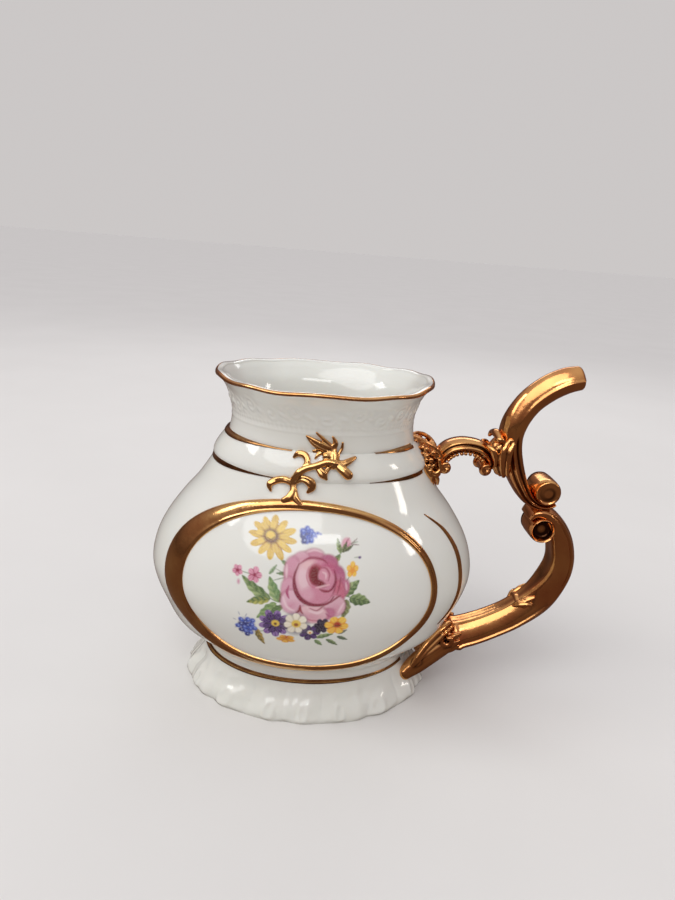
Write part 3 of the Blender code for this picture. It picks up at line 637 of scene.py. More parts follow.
def paint_rose(art):
    # Outer petals from the back to the front: place, radii, tilt, colour
    mauve, dusk = srgb(176, 92, 128), srgb(192, 112, 142)
    for place, radii, tilt, colour in (
        ((-1.8, 77.8), (3.6, 2.3), 0.05, srgb(200, 138, 158)),
        ((-6.4, 76.6), (3.0, 2.2), 0.5, srgb(212, 164, 180)),
        ((3.6, 76.0), (3.1, 2.4), -0.3, mauve), ((6.8, 72.0), (2.5, 3.2), 0.3, mauve),
        ((-9.0, 72.2), (2.8, 5.0), 0.0, srgb(208, 150, 170)), ((9.1, 67.8), (1.9, 2.9), -0.3, dusk),
        ((7.0, 66.2), (2.6, 4.4), 0.1, srgb(196, 106, 130)),
        ((-9.8, 66.2), (2.6, 4.4), 0.1, srgb(214, 158, 178)),
        ((-8.4, 62.4), (3.9, 4.2), 0.4, srgb(222, 180, 196)),
        ((6.4, 61.6), (3.7, 3.7), 0.5, srgb(218, 172, 186)),
        ((3.6, 58.6), (3.0, 2.0), 0.3, srgb(190, 110, 144)),
        ((-1.2, 58.6), (5.2, 3.3), -0.06, srgb(224, 182, 190)),
    ):
        art.dab(place, (radii[0] + 0.35, radii[1] + 0.35), ROSE_DEEP, tilt=tilt, blur=0.8, strength=0.55)
        art.dab(place, radii, colour, tilt=tilt, blur=0.7, strength=0.97)
        art.dab((place[0] - 0.2, place[1] - 0.35 * radii[1]), (radii[0] * 0.7, radii[1] * 0.4), ROSE,
                tilt=tilt, blur=2.0, strength=0.55)
    # The cupped middle, pale on its left and deeper on its right
    art.dab((-1.2, 69.2), (7.5, 7.9), srgb(134, 34, 62), blur=0.5, strength=0.95)
    art.dab((-1.0, 69.7), (7.1, 7.5), ROSE, blur=0.6)
    art.dab((-5.0, 70.8), (2.5, 4.6), srgb(228, 194, 202), tilt=0.12, blur=1.8, strength=0.95)
    art.dab((-3.8, 75.2), (2.6, 1.3), srgb(226, 186, 190), tilt=0.4, blur=1.2, strength=0.85)
    art.dab((3.6, 74.2), (2.8, 2.4), srgb(184, 88, 124), tilt=-0.5, blur=1.4, strength=0.85)
    art.dab((1.0, 64.9), (4.6, 2.6), srgb(206, 136, 158), tilt=0.1, blur=1.3, strength=0.9)
    art.dab((-3.2, 65.4), (2.2, 2.2), srgb(216, 160, 178), tilt=0.6, blur=1.4, strength=0.85)
    # The heart: a dark red hollow on its left, and folded petals on its right
    art.dab((-0.8, 72.0), (2.8, 3.5), srgb(166, 56, 80), tilt=0.1, blur=0.9, strength=0.9)
    art.dab((-1.0, 71.8), (1.9, 2.9), srgb(116, 14, 32), tilt=0.15, blur=0.9, strength=0.95)
    art.dab((2.6, 71.6), (2.6, 3.1), srgb(208, 142, 162), tilt=0.2, blur=0.7, strength=0.95)
    art.dab((0.6, 69.4), (2.3, 1.1), srgb(122, 18, 40), tilt=-0.35, blur=0.7, strength=0.9)
    folds = (
        ([(-6.9, 75.0), (-8.2, 70.6), (-6.6, 65.4), (-3.4, 62.6), (0.6, 61.8), (4.2, 62.8), (5.8, 65.0)], 1.1,
         srgb(128, 28, 56)),
        ([(-6.6, 75.2), (-3.2, 77.2), (1.0, 77.0), (3.0, 75.8)], 0.8, srgb(150, 48, 80)),
        ([(-3.4, 74.4), (-4.0, 71.6), (-2.8, 68.8), (-0.4, 67.6)], 0.5, srgb(198, 120, 140)),
        ([(0.6, 74.4), (2.6, 74.2), (3.9, 72.4), (3.6, 70.2)], 0.6, srgb(160, 66, 96)),
        ([(1.4, 73.0), (2.6, 72.4), (2.7, 70.8)], 0.6, srgb(232, 196, 204)),
        ([(5.6, 73.6), (6.2, 70.4), (5.2, 67.8), (3.6, 66.6)], 0.9, srgb(136, 34, 66)),
        ([(0.8, 67.4), (2.6, 66.8), (4.4, 67.0)], 0.9, srgb(142, 36, 64)),
        ([(-0.6, 67.8), (1.6, 68.4), (4.0, 69.0)], 0.6, srgb(230, 186, 192)),
        ([(7.9, 71.4), (7.6, 68.6), (7.0, 66.0)], 0.5, srgb(148, 46, 72)),
        ([(-9.9, 67.8), (-10.4, 65.6), (-9.6, 63.6)], 1.0, srgb(176, 76, 116)),
        ([(4.2, 63.2), (2.2, 61.4), (0.2, 59.9), (-2.2, 60.6)], 0.5, srgb(156, 62, 86)),
        ([(5.0, 63.0), (6.8, 64.6), (8.2, 65.4)], 0.7, srgb(140, 40, 66)),
        ([(-5.6, 61.4), (-5.8, 59.6), (-6.8, 58.6)], 0.9, srgb(138, 24, 46)),
        ([(-5.6, 61.2), (-5.2, 59.4), (-4.4, 58.4)], 0.7, srgb(150, 32, 54)),
        ([(3.4, 59.0), (4.6, 58.0), (5.6, 57.8)], 0.6, srgb(170, 80, 124)),
        ([(-4.4, 57.2), (-1.4, 56.2), (2.0, 56.2)], 0.6, srgb(196, 116, 136)),
    )
    for points, width, colour in folds:
        art.line(points, width, colour, strength=0.9, blur=0.5)
    for points, width in (
        ([(-4.2, 79.0), (-1.6, 79.8), (0.8, 79.2)], 0.6), ([(-11.0, 74.4), (-10.9, 70.6)], 0.7),
        ([(-11.6, 63.8), (-10.2, 60.6), (-7.6, 59.2)], 0.8), ([(9.4, 62.6), (7.8, 59.4)], 0.7),
        ([(-2.4, 59.6), (0.6, 59.0), (2.4, 60.0)], 0.7), ([(9.8, 69.6), (10.2, 67.4)], 0.5),
    ):
        art.line(points, width, srgb(242, 220, 224), strength=0.7, blur=0.7)


def paint_leaves(art):
    stems = (
        ([(-9.0, 62.4), (-14.0, 62.0), (-20.6, 65.4)], 0.35), ([(-16.4, 62.4), (-19.6, 60.0)], 0.35),
        ([(5.8, 76.2), (7.8, 79.6), (8.8, 81.0)], 0.4), ([(8.8, 66.0), (12.4, 64.4), (16.6, 63.0)], 0.4),
        ([(-20.4, 69.8), (-25.0, 70.0), (-28.0, 70.4)], 0.25), ([(-15.4, 69.0), (-11.0, 70.6)], 0.3),
        ([(-14.6, 72.8), (-9.6, 70.8)], 0.25), ([(11.2, 72.0), (9.0, 68.6)], 0.3),
        ([(9.6, 81.8), (13.6, 82.6)], 0.3), ([(12.4, 77.6), (14.8, 77.8)], 0.25),
        ([(-22.4, 49.4), (-19.2, 49.0), (-15.4, 51.0)], 0.3), ([(-19.6, 49.0), (-18.8, 46.0)], 0.3),
    )
    for points, width in stems:
        art.line(points, width, LEAF_DARK, strength=0.85)
    yellow_green = srgb(196, 190, 96)
    for base, tip, width, colour, shade, bend in (
        ((-16.0, 62.4), (-26.6, 69.0), 1.9, LEAF_LIGHT, LEAF_DARK, 0.2),
        ((-16.4, 62.2), (-24.4, 60.0), 1.5, yellow_green, LEAF_DARK, -0.15),
        ((-13.0, 61.8), (-16.8, 70.2), 1.9, LEAF_LIGHT, srgb(104, 140, 88), 0.1),
        ((-12.8, 62.0), (-10.2, 68.0), 1.3, srgb(120, 132, 84), srgb(74, 76, 50), -0.1),
        ((-14.0, 61.4), (-20.6, 54.8), 1.9, srgb(176, 196, 132), srgb(110, 142, 84), 0.15),
        ((-11.6, 60.6), (-16.2, 57.4), 1.2, srgb(120, 150, 90), LEAF_DARK, 0.0),
        ((-20.4, 50.0), (-17.4, 42.2), 1.3, srgb(192, 160, 76), srgb(112, 98, 44), -0.15),
        ((9.6, 65.2), (14.6, 70.4), 1.8, srgb(182, 198, 142), LEAF_DARK, 0.15),
        ((11.4, 64.4), (19.0, 62.4), 2.1, srgb(150, 172, 112), srgb(74, 100, 56), 0.1),
        ((10.4, 64.0), (9.4, 57.0), 1.7, srgb(150, 158, 100), srgb(86, 92, 56), 0.15),
        ((8.6, 66.4), (7.6, 71.4), 1.0, LEAF_LIGHT, LEAF_DARK, 0.0),
        ((7.6, 79.0), (6.2, 83.8), 0.9, LEAF_LIGHT, srgb(98, 116, 66), 0.1),
        ((7.4, 78.6), (4.8, 75.4), 0.9, srgb(158, 170, 104), LEAF_DARK, 0.0),
        ((0.6, 48.6), (6.8, 50.6), 1.0, LEAF_LIGHT, LEAF_DARK, 0.1),
        ((0.4, 47.6), (3.2, 44.6), 0.9, srgb(160, 182, 128), srgb(96, 124, 78), 0.0),
        ((4.4, 48.0), (8.8, 44.6), 0.9, srgb(150, 172, 120), srgb(84, 104, 66), 0.1),
        ((8.2, 49.4), (12.2, 47.4), 0.8, srgb(128, 146, 112), srgb(80, 96, 76), 0.0),
        ((8.4, 50.6), (11.6, 52.4), 0.7, srgb(140, 150, 128), srgb(90, 104, 90), 0.0),
        ((-10.0, 73.8), (-13.4, 76.0), 0.7, srgb(160, 180, 140), srgb(110, 136, 96), 0.0),
        ((-17.0, 70.8), (-14.4, 74.2), 0.6, srgb(168, 188, 150), srgb(120, 146, 106), 0.0),
        ((-10.6, 71.6), (-14.6, 71.4), 0.6, srgb(150, 172, 130), srgb(100, 126, 86), 0.0),
    ):
        art.leaf(base, tip, width, colour, shade, bend)


def paint_small_flowers(art):
    paint_posy(art, (-4.4, 84.1), (2.1, 2.3), BLUE, BLUE_DEEP, BLUE_PALE, 0.4)
    for place, radii in (((-0.9, 85.0), (0.7, 0.55)), ((-1.4, 84.0), (0.45, 0.5)), ((0.2, 84.8), (0.4, 0.3))):
        art.dab(place, radii, BLUE, blur=0.5, strength=0.8)
    art.dab((-24.0, 50.0), (3.0, 3.8), BLUE_DEEP, blur=1.6, strength=0.55)
    paint_posy(art, (-24.0, 50.0), (3.4, 4.4), BLUE, BLUE_DEEP, BLUE_PALE, 1.1)
    # The two small pink flowers
    for centre, size, turn in (((-28.2, 70.2), 2.0, 0.3), ((-22.0, 69.8), 2.7, 0.7)):
        art.bloom(centre, (size, size * 1.05), 5, srgb(226, 164, 186), srgb(176, 82, 112), turn=turn,
                  gap=0.35)
        art.dab(centre, (0.6, 0.6), srgb(150, 44, 78), blur=0.5)
    art.dab((-27.6, 66.6), (0.5, 0.8), srgb(206, 150, 170), blur=0.6)
    # The rosebud
    art.dab((9.4, 82.0), (1.7, 2.0), srgb(222, 170, 184), tilt=-0.4, blur=0.7)
    art.line([(8.6, 80.4), (9.4, 82.4), (10.4, 83.8)], 0.45, ROSE_DEEP)
    art.line([(9.6, 80.6), (10.6, 82.0)], 0.45, srgb(190, 120, 140))
    art.leaf((8.2, 79.2), (9.6, 82.6), 0.8, BUD_LIGHT, BUD_DARK)
    art.leaf((8.8, 79.6), (12.0, 81.6), 0.6, BUD_LIGHT, BUD_DARK)
    for tip in ((13.4, 83.6), (14.0, 81.6)):
        art.line([(11.0, 81.8), tip], 0.35, srgb(120, 86, 84))
    # The small yellow flower at the right, and the bud above it
    art.bloom((11.9, 73.8), (2.3, 2.7), 5, srgb(242, 206, 92), ORANGE, turn=0.9, gap=0.35)
    art.dab((11.9, 73.6), (0.8, 0.9), ORANGE, blur=0.6)
    art.dab((14.4, 77.6), (0.5, 0.4), PURPLE, blur=0.4)
    # Bottom row, drawn a little larger and higher
    art.place(LOW_ROW, LOW_ROW_SCALE, LOW_ROW_PLACE)
    art.bloom((-9.6, 45.8), (3.2, 2.0), 5, srgb(238, 188, 70), srgb(200, 122, 30), turn=0.2, gap=0.3)
    art.dab((-9.4, 46.6), (1.1, 0.7), RED, blur=0.9, strength=0.55)
    art.bloom((-13.6, 51.6), (5.6, 5.4), 9, LILAC, PURPLE, turn=0.3, gap=0.34, vein=0.45)
    art.bloom((-13.4, 51.8), (4.4, 4.2), 8, PURPLE, PURPLE_DEEP, turn=0.1, gap=0.3, vein=0.3)
    art.dab((-13.2, 52.0), (1.3, 1.2), YELLOW, blur=0.5)
    art.dab((-13.2, 51.8), (0.5, 0.5), BROWN, blur=0.4)
    art.bloom((-2.2, 49.4), (3.6, 3.4), 7, PURPLE, PURPLE_DEEP, turn=0.5, gap=0.3, vein=0.3)
    art.bloom((1.6, 52.2), (2.7, 3.0), 6, PURPLE_DEEP, srgb(34, 18, 44), turn=0.5, gap=0.3, vein=0.3)
    art.dab((-2.0, 49.6), (0.9, 0.8), CREAM, blur=0.5)
    art.dab((-2.0, 49.4), (0.4, 0.4), ORANGE, blur=0.4)
    art.dab((-6.8, 52.4), (4.3, 4.3), srgb(104, 92, 110), blur=1.4, strength=0.55)
    art.bloom((-6.8, 52.6), (3.9, 3.9), 7, srgb(246, 240, 222), srgb(206, 196, 172), turn=0.2, gap=0.22,
              vein=0.1)
    art.dab((-6.6, 52.6), (1.5, 1.4), YELLOW, blur=0.5)
    art.dab((-6.6, 52.3), (0.7, 0.6), srgb(150, 84, 30), blur=0.4)
    art.bloom((6.3, 52.4), (4.0, 3.6), 6, srgb(244, 206, 84), ORANGE, turn=0.4, gap=0.25, vein=0.25)
    art.dab((6.5, 52.8), (1.2, 1.1), RED, blur=0.7)
    art.line([(5.0, 52.0), (6.4, 52.6), (8.0, 52.2)], 0.4, BROWN)
    for number in range(7):
        angle = 0.9 * number + 0.2
        c, s = math.cos(angle), math.sin(angle)
        art.line([(-24.0 + 2.2 * c, 49.6 + 3.4 * s), (-24.0 + 3.2 * c, 49.6 + 4.6 * s)], 0.3, BLUE_DEEP,
                 strength=0.6)
    art.place(LOW_ROW_PLACE, 1 / LOW_ROW_SCALE, LOW_ROW)


def paint_bouquet(x, z):
    art = Painting(x, z)
    paint_leaves(art)
    paint_daisy(art)
    paint_rose(art)
    paint_small_flowers(art)
    return art.colour


# ------------------------------------------------------------------ medallions

def both_faces(name, points, faces, material, slot, nodes, paint=None):
    """The same piece on the jug's front and on its rear."""
    for face, place in (("front", points), ("rear", mirrored(points))):
        piece = mesh_piece(f"{face}_{name}", place, faces, material, slot)
        if paint is not None:
            layer = piece.data.color_attributes.new("print", "FLOAT_COLOR", "POINT")
            layer.data.foreach_set("color", paint.astype(np.float32).ravel())
        stands_for(piece, *(f"{face}_{node}" for node in nodes))


def oval_places(shape, share, turn):
    centre_x, centre_z, width, height = shape
    return centre_x + share * width * np.cos(turn), centre_z + share * height * np.sin(turn)


def make_panels():
    """The raised oval panels with their print. Each is closed behind by a plain face inside the wall."""
    rings, columns = 148, 620
    share = np.linspace(1, 0, rings, endpoint=False)[::-1][:, None]
    turn = (np.arange(columns) * TURN / columns)[None, :]
    x, z = oval_places(PANEL_OVAL, share, turn)
    crown = PANEL_CROWN * (1 - share ** 2.4) + PANEL_EDGE
    top = on_front(x, z, np.broadcast_to(crown, x.shape)).reshape(-1, 3)
    middle_x, middle_z = np.array(PANEL_OVAL[:1]), np.array(PANEL_OVAL[1:2])
    centre = on_front(middle_x, middle_z, np.array([PANEL_CROWN + PANEL_EDGE]))
    edge_x, edge_z = oval_places(PANEL_OVAL, 1.0, turn[0])
    back = on_front(edge_x, edge_z, np.full(columns, -0.6))
    points = np.vstack([centre, top, back])
    faces = [[0, 1 + (c + 1) % columns, 1 + c] for c in range(columns)]
    faces += [[i + 1 for i in f] for f in grid_faces(rings + 1, columns, wrap_columns=True)]
    faces.append([1 + rings * columns + c for c in range(columns)])
    paint = np.ones((len(points), 4))
    paint[:, :3] = BARE
    paint[1:1 + x.size, :3] = paint_bouquet(x.ravel(), z.ravel())
    both_faces("medallion_panel", points, faces, painted, "glazed_porcelain", ("medallion", "bouquet"), paint)


def make_frames():
    """The gilt frames: rounded bands, broad towards the pouring lip and thin towards the handle.

    They have two ridges at the thin end and a bead along the inner edge at the broad end.
    """
    columns = 480
    turn = np.arange(columns) * TURN / columns
    inner = np.stack(oval_places(FRAME_INNER_OVAL, 1.0, turn), -1)
    outer = np.stack(oval_places(FRAME_OUTER_OVAL, 1.0, turn), -1)
    rows = []
    for share, lift in ((0.0, -0.5), (0.0, 0.35), (0.04, 0.8), (0.1, 1.05), (0.18, 1.15), (0.26, 1.3),
                        (0.38, 1.45), (0.5, 1.5), (0.62, 1.45), (0.76, 1.25), (0.88, 0.95), (0.95, 0.55),
                        (1.0, 0.1), (1.0, -0.5)):
        place = inner + (outer - inner) * share
        double = 0.75 * smoothstep(np.cos(turn), 0.35, 0.8) * math.exp(-((share - 0.5) / 0.2) ** 2)
        bead = 0.35 * smoothstep(-np.cos(turn), -0.2, 0.4) * math.exp(-((share - 0.1) / 0.06) ** 2)
        rows.append(on_front(place[:, 0], place[:, 1], lift + bead - double))
    rings = np.array(rows)
    faces = grid_faces(len(rows), columns, wrap_rows=True, wrap_columns=True)
    both_faces("gilt_frame", rings, faces, relief_gold, "gilt_relief", ("medallion_frame",))


make_panels()
make_frames()


# ------------------------------------------------------------------ gold lines

def stroke_piece(name, angles, z, widths, node):
    """A brushed gold line: a lens-shaped ribbon round the body that fills its crease."""
    across = np.linspace(-1, 1, 9)
    height = z + widths[:, None] * across[None, :] / 2
    angle = np.repeat(angles[:, None], len(across), axis=1)
    swell = 0.10 + 0.16 * (1 - across ** 2) * np.minimum(1, widths / widths.max())[:, None]
    crest = np.maximum.reduce([half_width(height - 0.35), half_width(height), eased_half_width(height)])
    high = body_point(angle, height, crest + swell)
    low = body_point(angle, height, half_width(height) - 0.5)
    rings = np.concatenate([high, low[:, ::-1]], axis=1)
    stands_for(tube_piece(name, rings, line_gold, "gold_line"), node)


def tapered(count, widest, thinnest, start, end):
    """Widths along a line that thins over these shares of its length at either end."""
    share = np.linspace(0, 1, count)
    width = np.full(count, widest)
    if start:
        width = np.minimum(width, thinnest + (widest - thinnest) * smoothstep(share, 0.0, start))
    if end:
        width = np.minimum(width, thinnest + (widest - thinnest) * smoothstep(1 - share, 0.0, end))
    return width


def make_lines():
    for label, z, widest, left, right, handle_side in (
        ("lower", SHOULDER_HEIGHT, 2.0, 250, 294, 338),
        ("upper", NECK_HEIGHT, 1.6, 252, 300, 336),
    ):
        angles = np.radians(np.linspace(360 - left, left, 121))
        stroke_piece(f"gilt_{label}_line_lip_side", angles, z, tapered(121, widest, 0.25, 0.35, 0.35),
                     f"{label}_line_lip_side")
        for face, start, end, tapers in (("front", right, handle_side, (0.7, 0.0)),
                                         ("rear", 360 - handle_side, 360 - right, (0.0, 0.7))):
            angles = np.radians(np.linspace(start, end, 41))
            stroke_piece(f"{face}_gilt_{label}_line", angles, z, tapered(41, 1.6, 0.2, *tapers),
                         f"{face}_{label}_line")
    angles = np.radians(np.linspace(24, 336, 181))
    stroke_piece("gilt_foot_line", angles, FOOT_HEIGHT + 0.5, tapered(181, 1.3, 0.3, 0.2, 0.2), "foot_line")


make_lines()


SIDE_ARC = [(40.3, 88.0), (48.8, 81.4), (55.0, 73.0), (57.6, 64.4), (57.6, 56.0), (55.0, 47.6), (50.6, 42.0)]


def make_side_arcs():
    """The thin gilt ridges that curve down between the medallions and the handle."""
    place = smooth(SIDE_ARC, 16)[:, :2]
    share = np.linspace(0, 1, len(place))
    half = 0.25 + 0.75 * np.sin(math.pi * share) ** 0.7
    across = np.linspace(-1, 1, 9)
    x = place[:, :1] + half[:, None] * across
    z = np.repeat(place[:, 1:], len(across), axis=1)
    high = on_front(x, z, 0.05 + 0.65 * np.minimum(1, half)[:, None] * (1 - across ** 2))
    low = on_front(x, z, np.full(x.shape, -0.4))
    rings = np.concatenate([high, low[:, ::-1]], axis=1)
    both_faces("gilt_side_arc", rings, tube_faces(*rings.shape[:2]), relief_gold, "gold_line", ("side_arc",))


make_side_arcs()


# ------------------------------------------------------------------ moulded relief, modelled and then fused

# How deep a hollow is, in millimetres, where the painted shade on its gold is at its darkest
RELIEF_CREVICE = 0.22
VOLUTE_CREVICE = 0.14


class Clay:
    """Closed lumps that overlap. fuse() melts them into one skin."""

    def __init__(self):
        self.points = []
        self.faces = []
        self.count = 0

    def add(self, rings):
        faces = tube_faces(*rings.shape[:2])
        faces[-2].reverse()  # the first cap faces the other way from the last
        self.points.append(rings.reshape(-1, 3))
        self.faces += [[i + self.count for i in face] for face in faces]
        self.count += len(self.points[-1])

    def ball(self, centre, radii):
        tilt = np.linspace(-math.pi / 2, math.pi / 2, 14)[1:-1, None]
        turn = np.linspace(0, TURN, 20, endpoint=False)[None, :]
        shape = np.stack(np.broadcast_arrays(np.cos(tilt) * np.cos(turn), np.cos(tilt) * np.sin(turn),
                                             np.sin(tilt)), -1)
        self.add(np.array(centre, float) + shape * np.array(radii, float))

    def rod(self, places, radii, outward=None, flat=1.0, sides=16, groove=0.0):
        """A tapering rod with round ends. It is flattened towards outward, and may have a groove along it."""
        path = smooth([(*p, r) for p, r in zip(places, radii)], 8)
        centre, radius = path[:, :3], path[:, 3:]
        ahead = unit(np.gradient(centre, axis=0))
        if outward is None:
            outward = np.array((0.0, -1.0, 0.0))
        outward = np.broadcast_to(np.asarray(outward, float), centre.shape)
        side = unit(np.cross(ahead, outward))
        outward = np.cross(side, ahead)
        turn = (np.arange(sides) * TURN / sides)[None, :, None]
        high = flat * np.sin(turn) - groove * np.exp(-((turn - math.pi / 2) / 0.35) ** 2)

        def ring(i, scale, push):
            step = centre[i] + ahead[i] * (push * radius[i])
            return step + (side[i] * np.cos(turn[0]) + outward[i] * high[0]) * (radius[i] * scale)

        rings = [ring(0, math.cos(a), -math.sin(a)) for a in (1.35, 1.0, 0.6, 0.3)]
        rings += [ring(i, 1.0, 0.0) for i in range(len(centre))]
        rings += [ring(-1, math.cos(a), math.sin(a)) for a in (0.3, 0.6, 1.0, 1.35)]
        self.add(np.array(rings))

    def fuse(self, name, voxel, material, slot, nodes, mirror=False, rounds=2):
        """One skin over all the lumps, remeshed and a little softened."""
        points = np.vstack(self.points)
        if mirror:
            points = mirrored(points)
        faces = [face[::-1] for face in self.faces] if mirror else self.faces
        rough = mesh_piece(f"{name}_rough", points, faces, material, None)
        remesh = rough.modifiers.new("fuse", "REMESH")
        remesh.mode = "VOXEL"
        remesh.voxel_size = voxel * MM
        soften = rough.modifiers.new("soften", "SMOOTH")
        soften.factor = 0.5
        soften.iterations = rounds
        graph = bpy.context.evaluated_depsgraph_get()
        mesh = bpy.data.meshes.new_from_object(rough.evaluated_get(graph))
        bpy.data.objects.remove(rough)
        mesh.name = name
        mesh.shade_smooth()
        mark_crevices(mesh, RELIEF_CREVICE)
        piece = bpy.data.objects.new(name, mesh)
        bpy.context.scene.collection.objects.link(piece)
        mesh.materials.clear()
        mesh.materials.append(material)
        stands_for(piece, *nodes)


# Twigs of the sprig as (x, z, half thickness) from root to tip, and how flat and how grooved each one is
SPRIG = (
    ([(-13.4, 94.4, 1.3), (-11.6, 95.6, 1.5), (-10.4, 98.0, 1.3), (-10.6, 100.4, 1.3), (-10.2, 102.8, 1.3)],
     0.9, 0.1),
    ([(-7.4, 93.6, 1.2), (-9.4, 95.6, 1.4), (-10.2, 98.6, 1.2)], 0.8, 0.2),
    ([(-10.2, 102.4, 1.3), (-8.8, 104.6, 1.4), (-6.4, 106.2, 1.3), (-2.6, 107.4, 1.3), (1.0, 108.6, 1.4),
      (3.8, 108.4, 1.5)], 1.0, 0.0),
    ([(-10.4, 100.2, 1.2), (-13.4, 101.8, 1.3), (-16.8, 101.4, 1.4), (-19.0, 99.0, 1.2), (-18.6, 97.0, 0.5)],
     0.9, 0.15),
    ([(-10.0, 101.6, 1.2), (-7.2, 102.9, 1.3), (-4.6, 102.0, 1.8), (-3.8, 99.6, 1.5), (-5.2, 98.0, 0.6)],
     0.8, 0.3),
    ([(-7.4, 105.4, 1.1), (-6.0, 108.2, 1.2), (-6.8, 110.4, 1.3), (-9.2, 110.8, 1.2), (-10.8, 109.6, 0.6)],
     0.9, 0.2),
    ([(-2.4, 107.0, 0.9), (-0.2, 104.8, 1.6), (1.2, 103.2, 0.6)], 0.8, 0.3),
    ([(1.8, 106.8, 0.8), (0.2, 104.8, 1.2), (1.2, 103.2, 0.5)], 0.8, 0.2),
    ([(4.4, 108.0, 1.2), (7.0, 106.2, 1.8), (8.8, 104.8, 1.9)], 0.9, 0.15),
    ([(3.4, 108.6, 1.3), (6.6, 108.4, 1.3), (8.6, 109.0, 1.3), (11.2, 110.4, 0.7)], 1.0, 0.25),
    ([(3.4, 107.8, 1.6), (3.4, 111.0, 1.4), (3.0, 113.6, 1.3), (3.6, 115.8, 1.0), (2.4, 118.0, 0.4)],
     0.9, 0.25),
    ([(3.0, 112.8, 1.3), (-0.6, 114.0, 1.7), (-3.6, 115.6, 1.5), (-6.4, 117.6, 0.4)], 0.7, 0.35),
    ([(2.4, 114.2, 0.9), (-0.4, 116.8, 0.7), (-2.9, 119.2, 0.4)], 1.0, 0.0),
    ([(2.8, 111.2, 1.1), (-0.6, 112.4, 1.1), (-4.0, 112.2, 0.5)], 0.9, 0.2),
    ([(0.2, 112.2, 0.8), (-2.0, 111.2, 0.7), (-3.2, 109.8, 0.4)], 0.9, 0.0),
    ([(2.6, 110.6, 1.0), (0.6, 110.6, 1.3), (0.6, 109.2, 0.5)], 0.8, 0.0),
    ([(4.8, 108.4, 0.9), (5.2, 111.4, 0.6), (6.2, 113.6, 0.6), (6.2, 115.8, 0.45)], 1.0, 0.0),
)


def make_sprigs():
    clay = Clay()
    for twig, flat, groove in SPRIG:
        x, z, radius = np.array(twig).T
        outward = body_normal(front_angle(x.mean(), z.mean()), z.mean())
        clay.rod(on_front(x, z, 0.45 * radius + 0.2), radius, outward=outward, flat=flat, groove=groove)
    for face, flip in (("front", False), ("rear", True)):
        clay.fuse(f"{face}_gilt_sprig", 0.22, relief_gold, "gilt_relief", (f"{face}_sprig",), mirror=flip)


make_sprigs()


# ------------------------------------------------------------------ the handle

# Centre lines as (x, z, half thickness, half depth along Y). They follow the CAD part's to about 2 mm.
STEM = [
    (101.6, 140.3, 4.9, 5.2), (96.3, 138.9, 5.3, 5.5), (89.9, 135.4, 5.4, 5.7), (83.5, 129.8, 5.3, 5.8),
    (79.4, 123.2, 5.2, 6.0), (77.6, 116.7, 5.0, 6.2), (78.0, 110.3, 4.6, 6.4), (79.6, 104.3, 4.3, 6.6),
    (81.6, 99.0, 4.0, 6.8), (84.2, 94.0, 3.5, 6.9), (87.4, 89.4, 2.9, 6.9), (91.4, 86.6, 2.3, 6.8),
    (95.8, 85.9, 1.8, 6.6), (99.2, 87.2, 1.3, 6.4),
]
LOWER_SCROLL = [
    (89.8, 80.2, 1.2, 6.2), (92.2, 82.8, 2.0, 6.8), (97.0, 82.2, 3.0, 7.0), (102.0, 77.0, 4.2, 7.0),
    (105.6, 69.4, 5.3, 7.1), (107.4, 60.0, 5.7, 7.2), (105.6, 51.4, 6.2, 7.4), (99.9, 41.8, 6.8, 7.7),
    (90.4, 33.6, 6.5, 8.0), (81.4, 28.4, 6.4, 8.3), (73.0, 24.6, 6.6, 8.6), (64.6, 21.8, 6.8, 8.8),
]
ARM = [
    (49.0, 101.6, 2.4, 4.8), (49.7, 105.0, 2.9, 5.0), (52.4, 108.0, 3.1, 5.1), (56.6, 109.6, 3.1, 5.2),
    (61.0, 109.7, 3.1, 5.2), (65.2, 108.7, 3.1, 5.2), (68.4, 106.2, 3.1, 5.2), (69.8, 103.4, 2.6, 5.0),
    (69.0, 101.2, 2.0, 4.8),
]


def squared(value, power):
    """A sine or cosine, bent so that a circle drawn with it has squarer corners."""
    return np.sign(value) * np.abs(value) ** power


def bar_piece(name, path, section, node, around=96, steps=14, cap=0.8, crevice=0.16):
    """A gilt bar along a centre line in the handle's plane, with rounded ends that bulge by cap.

    section(turn, share) shapes it across the line and along Y, as factors of half thickness and half depth.
    """
    line = smooth(path, steps)
    ahead = unit(np.gradient(line[:, :2], axis=0))
    normal = np.stack([-ahead[:, 1], ahead[:, 0]], -1)
    length = np.r_[0, np.cumsum(np.hypot(*np.diff(line[:, :2], axis=0).T))]
    turn = (np.arange(around) * TURN / around)[None, :]
    across, depth = section(turn, (length / length[-1])[:, None])

    def ring(i, scale=1.0, push=0.0):
        x = line[i, 0] + normal[i, 0] * line[i, 2] * across[i] * scale + ahead[i, 0] * push * line[i, 2]
        z = line[i, 1] + normal[i, 1] * line[i, 2] * across[i] * scale + ahead[i, 1] * push * line[i, 2]
        return np.stack([x, line[i, 3] * depth[i] * scale, z], -1)

    bend = [math.radians(a) for a in (12, 25, 38, 50, 61, 71, 80)]
    rings = [ring(0, math.cos(a), -cap * math.sin(a)) for a in reversed(bend)]
    rings += [ring(i) for i in range(len(line))]
    rings += [ring(-1, math.cos(a), cap * math.sin(a)) for a in bend]
    piece = tube_piece(name, np.array(rings), handle_gold, "gilt_handle", smooth_angle=70)
    mark_crevices(piece.data, crevice, rounds=40)
    stands_for(piece, node)


def flutes(across, count):
    """Ridges along the bar's broad face: 0 on a ridge and 1 in a groove."""
    return (0.5 - 0.5 * np.cos(math.pi * count * across)) ** 1.5


def roofed(across, ridge, slope):
    """Draws both flanks in above the ridge, so that the upper face leans back like a roof."""
    return 1 - slope * np.maximum(0, ridge - across) / (1 + ridge)


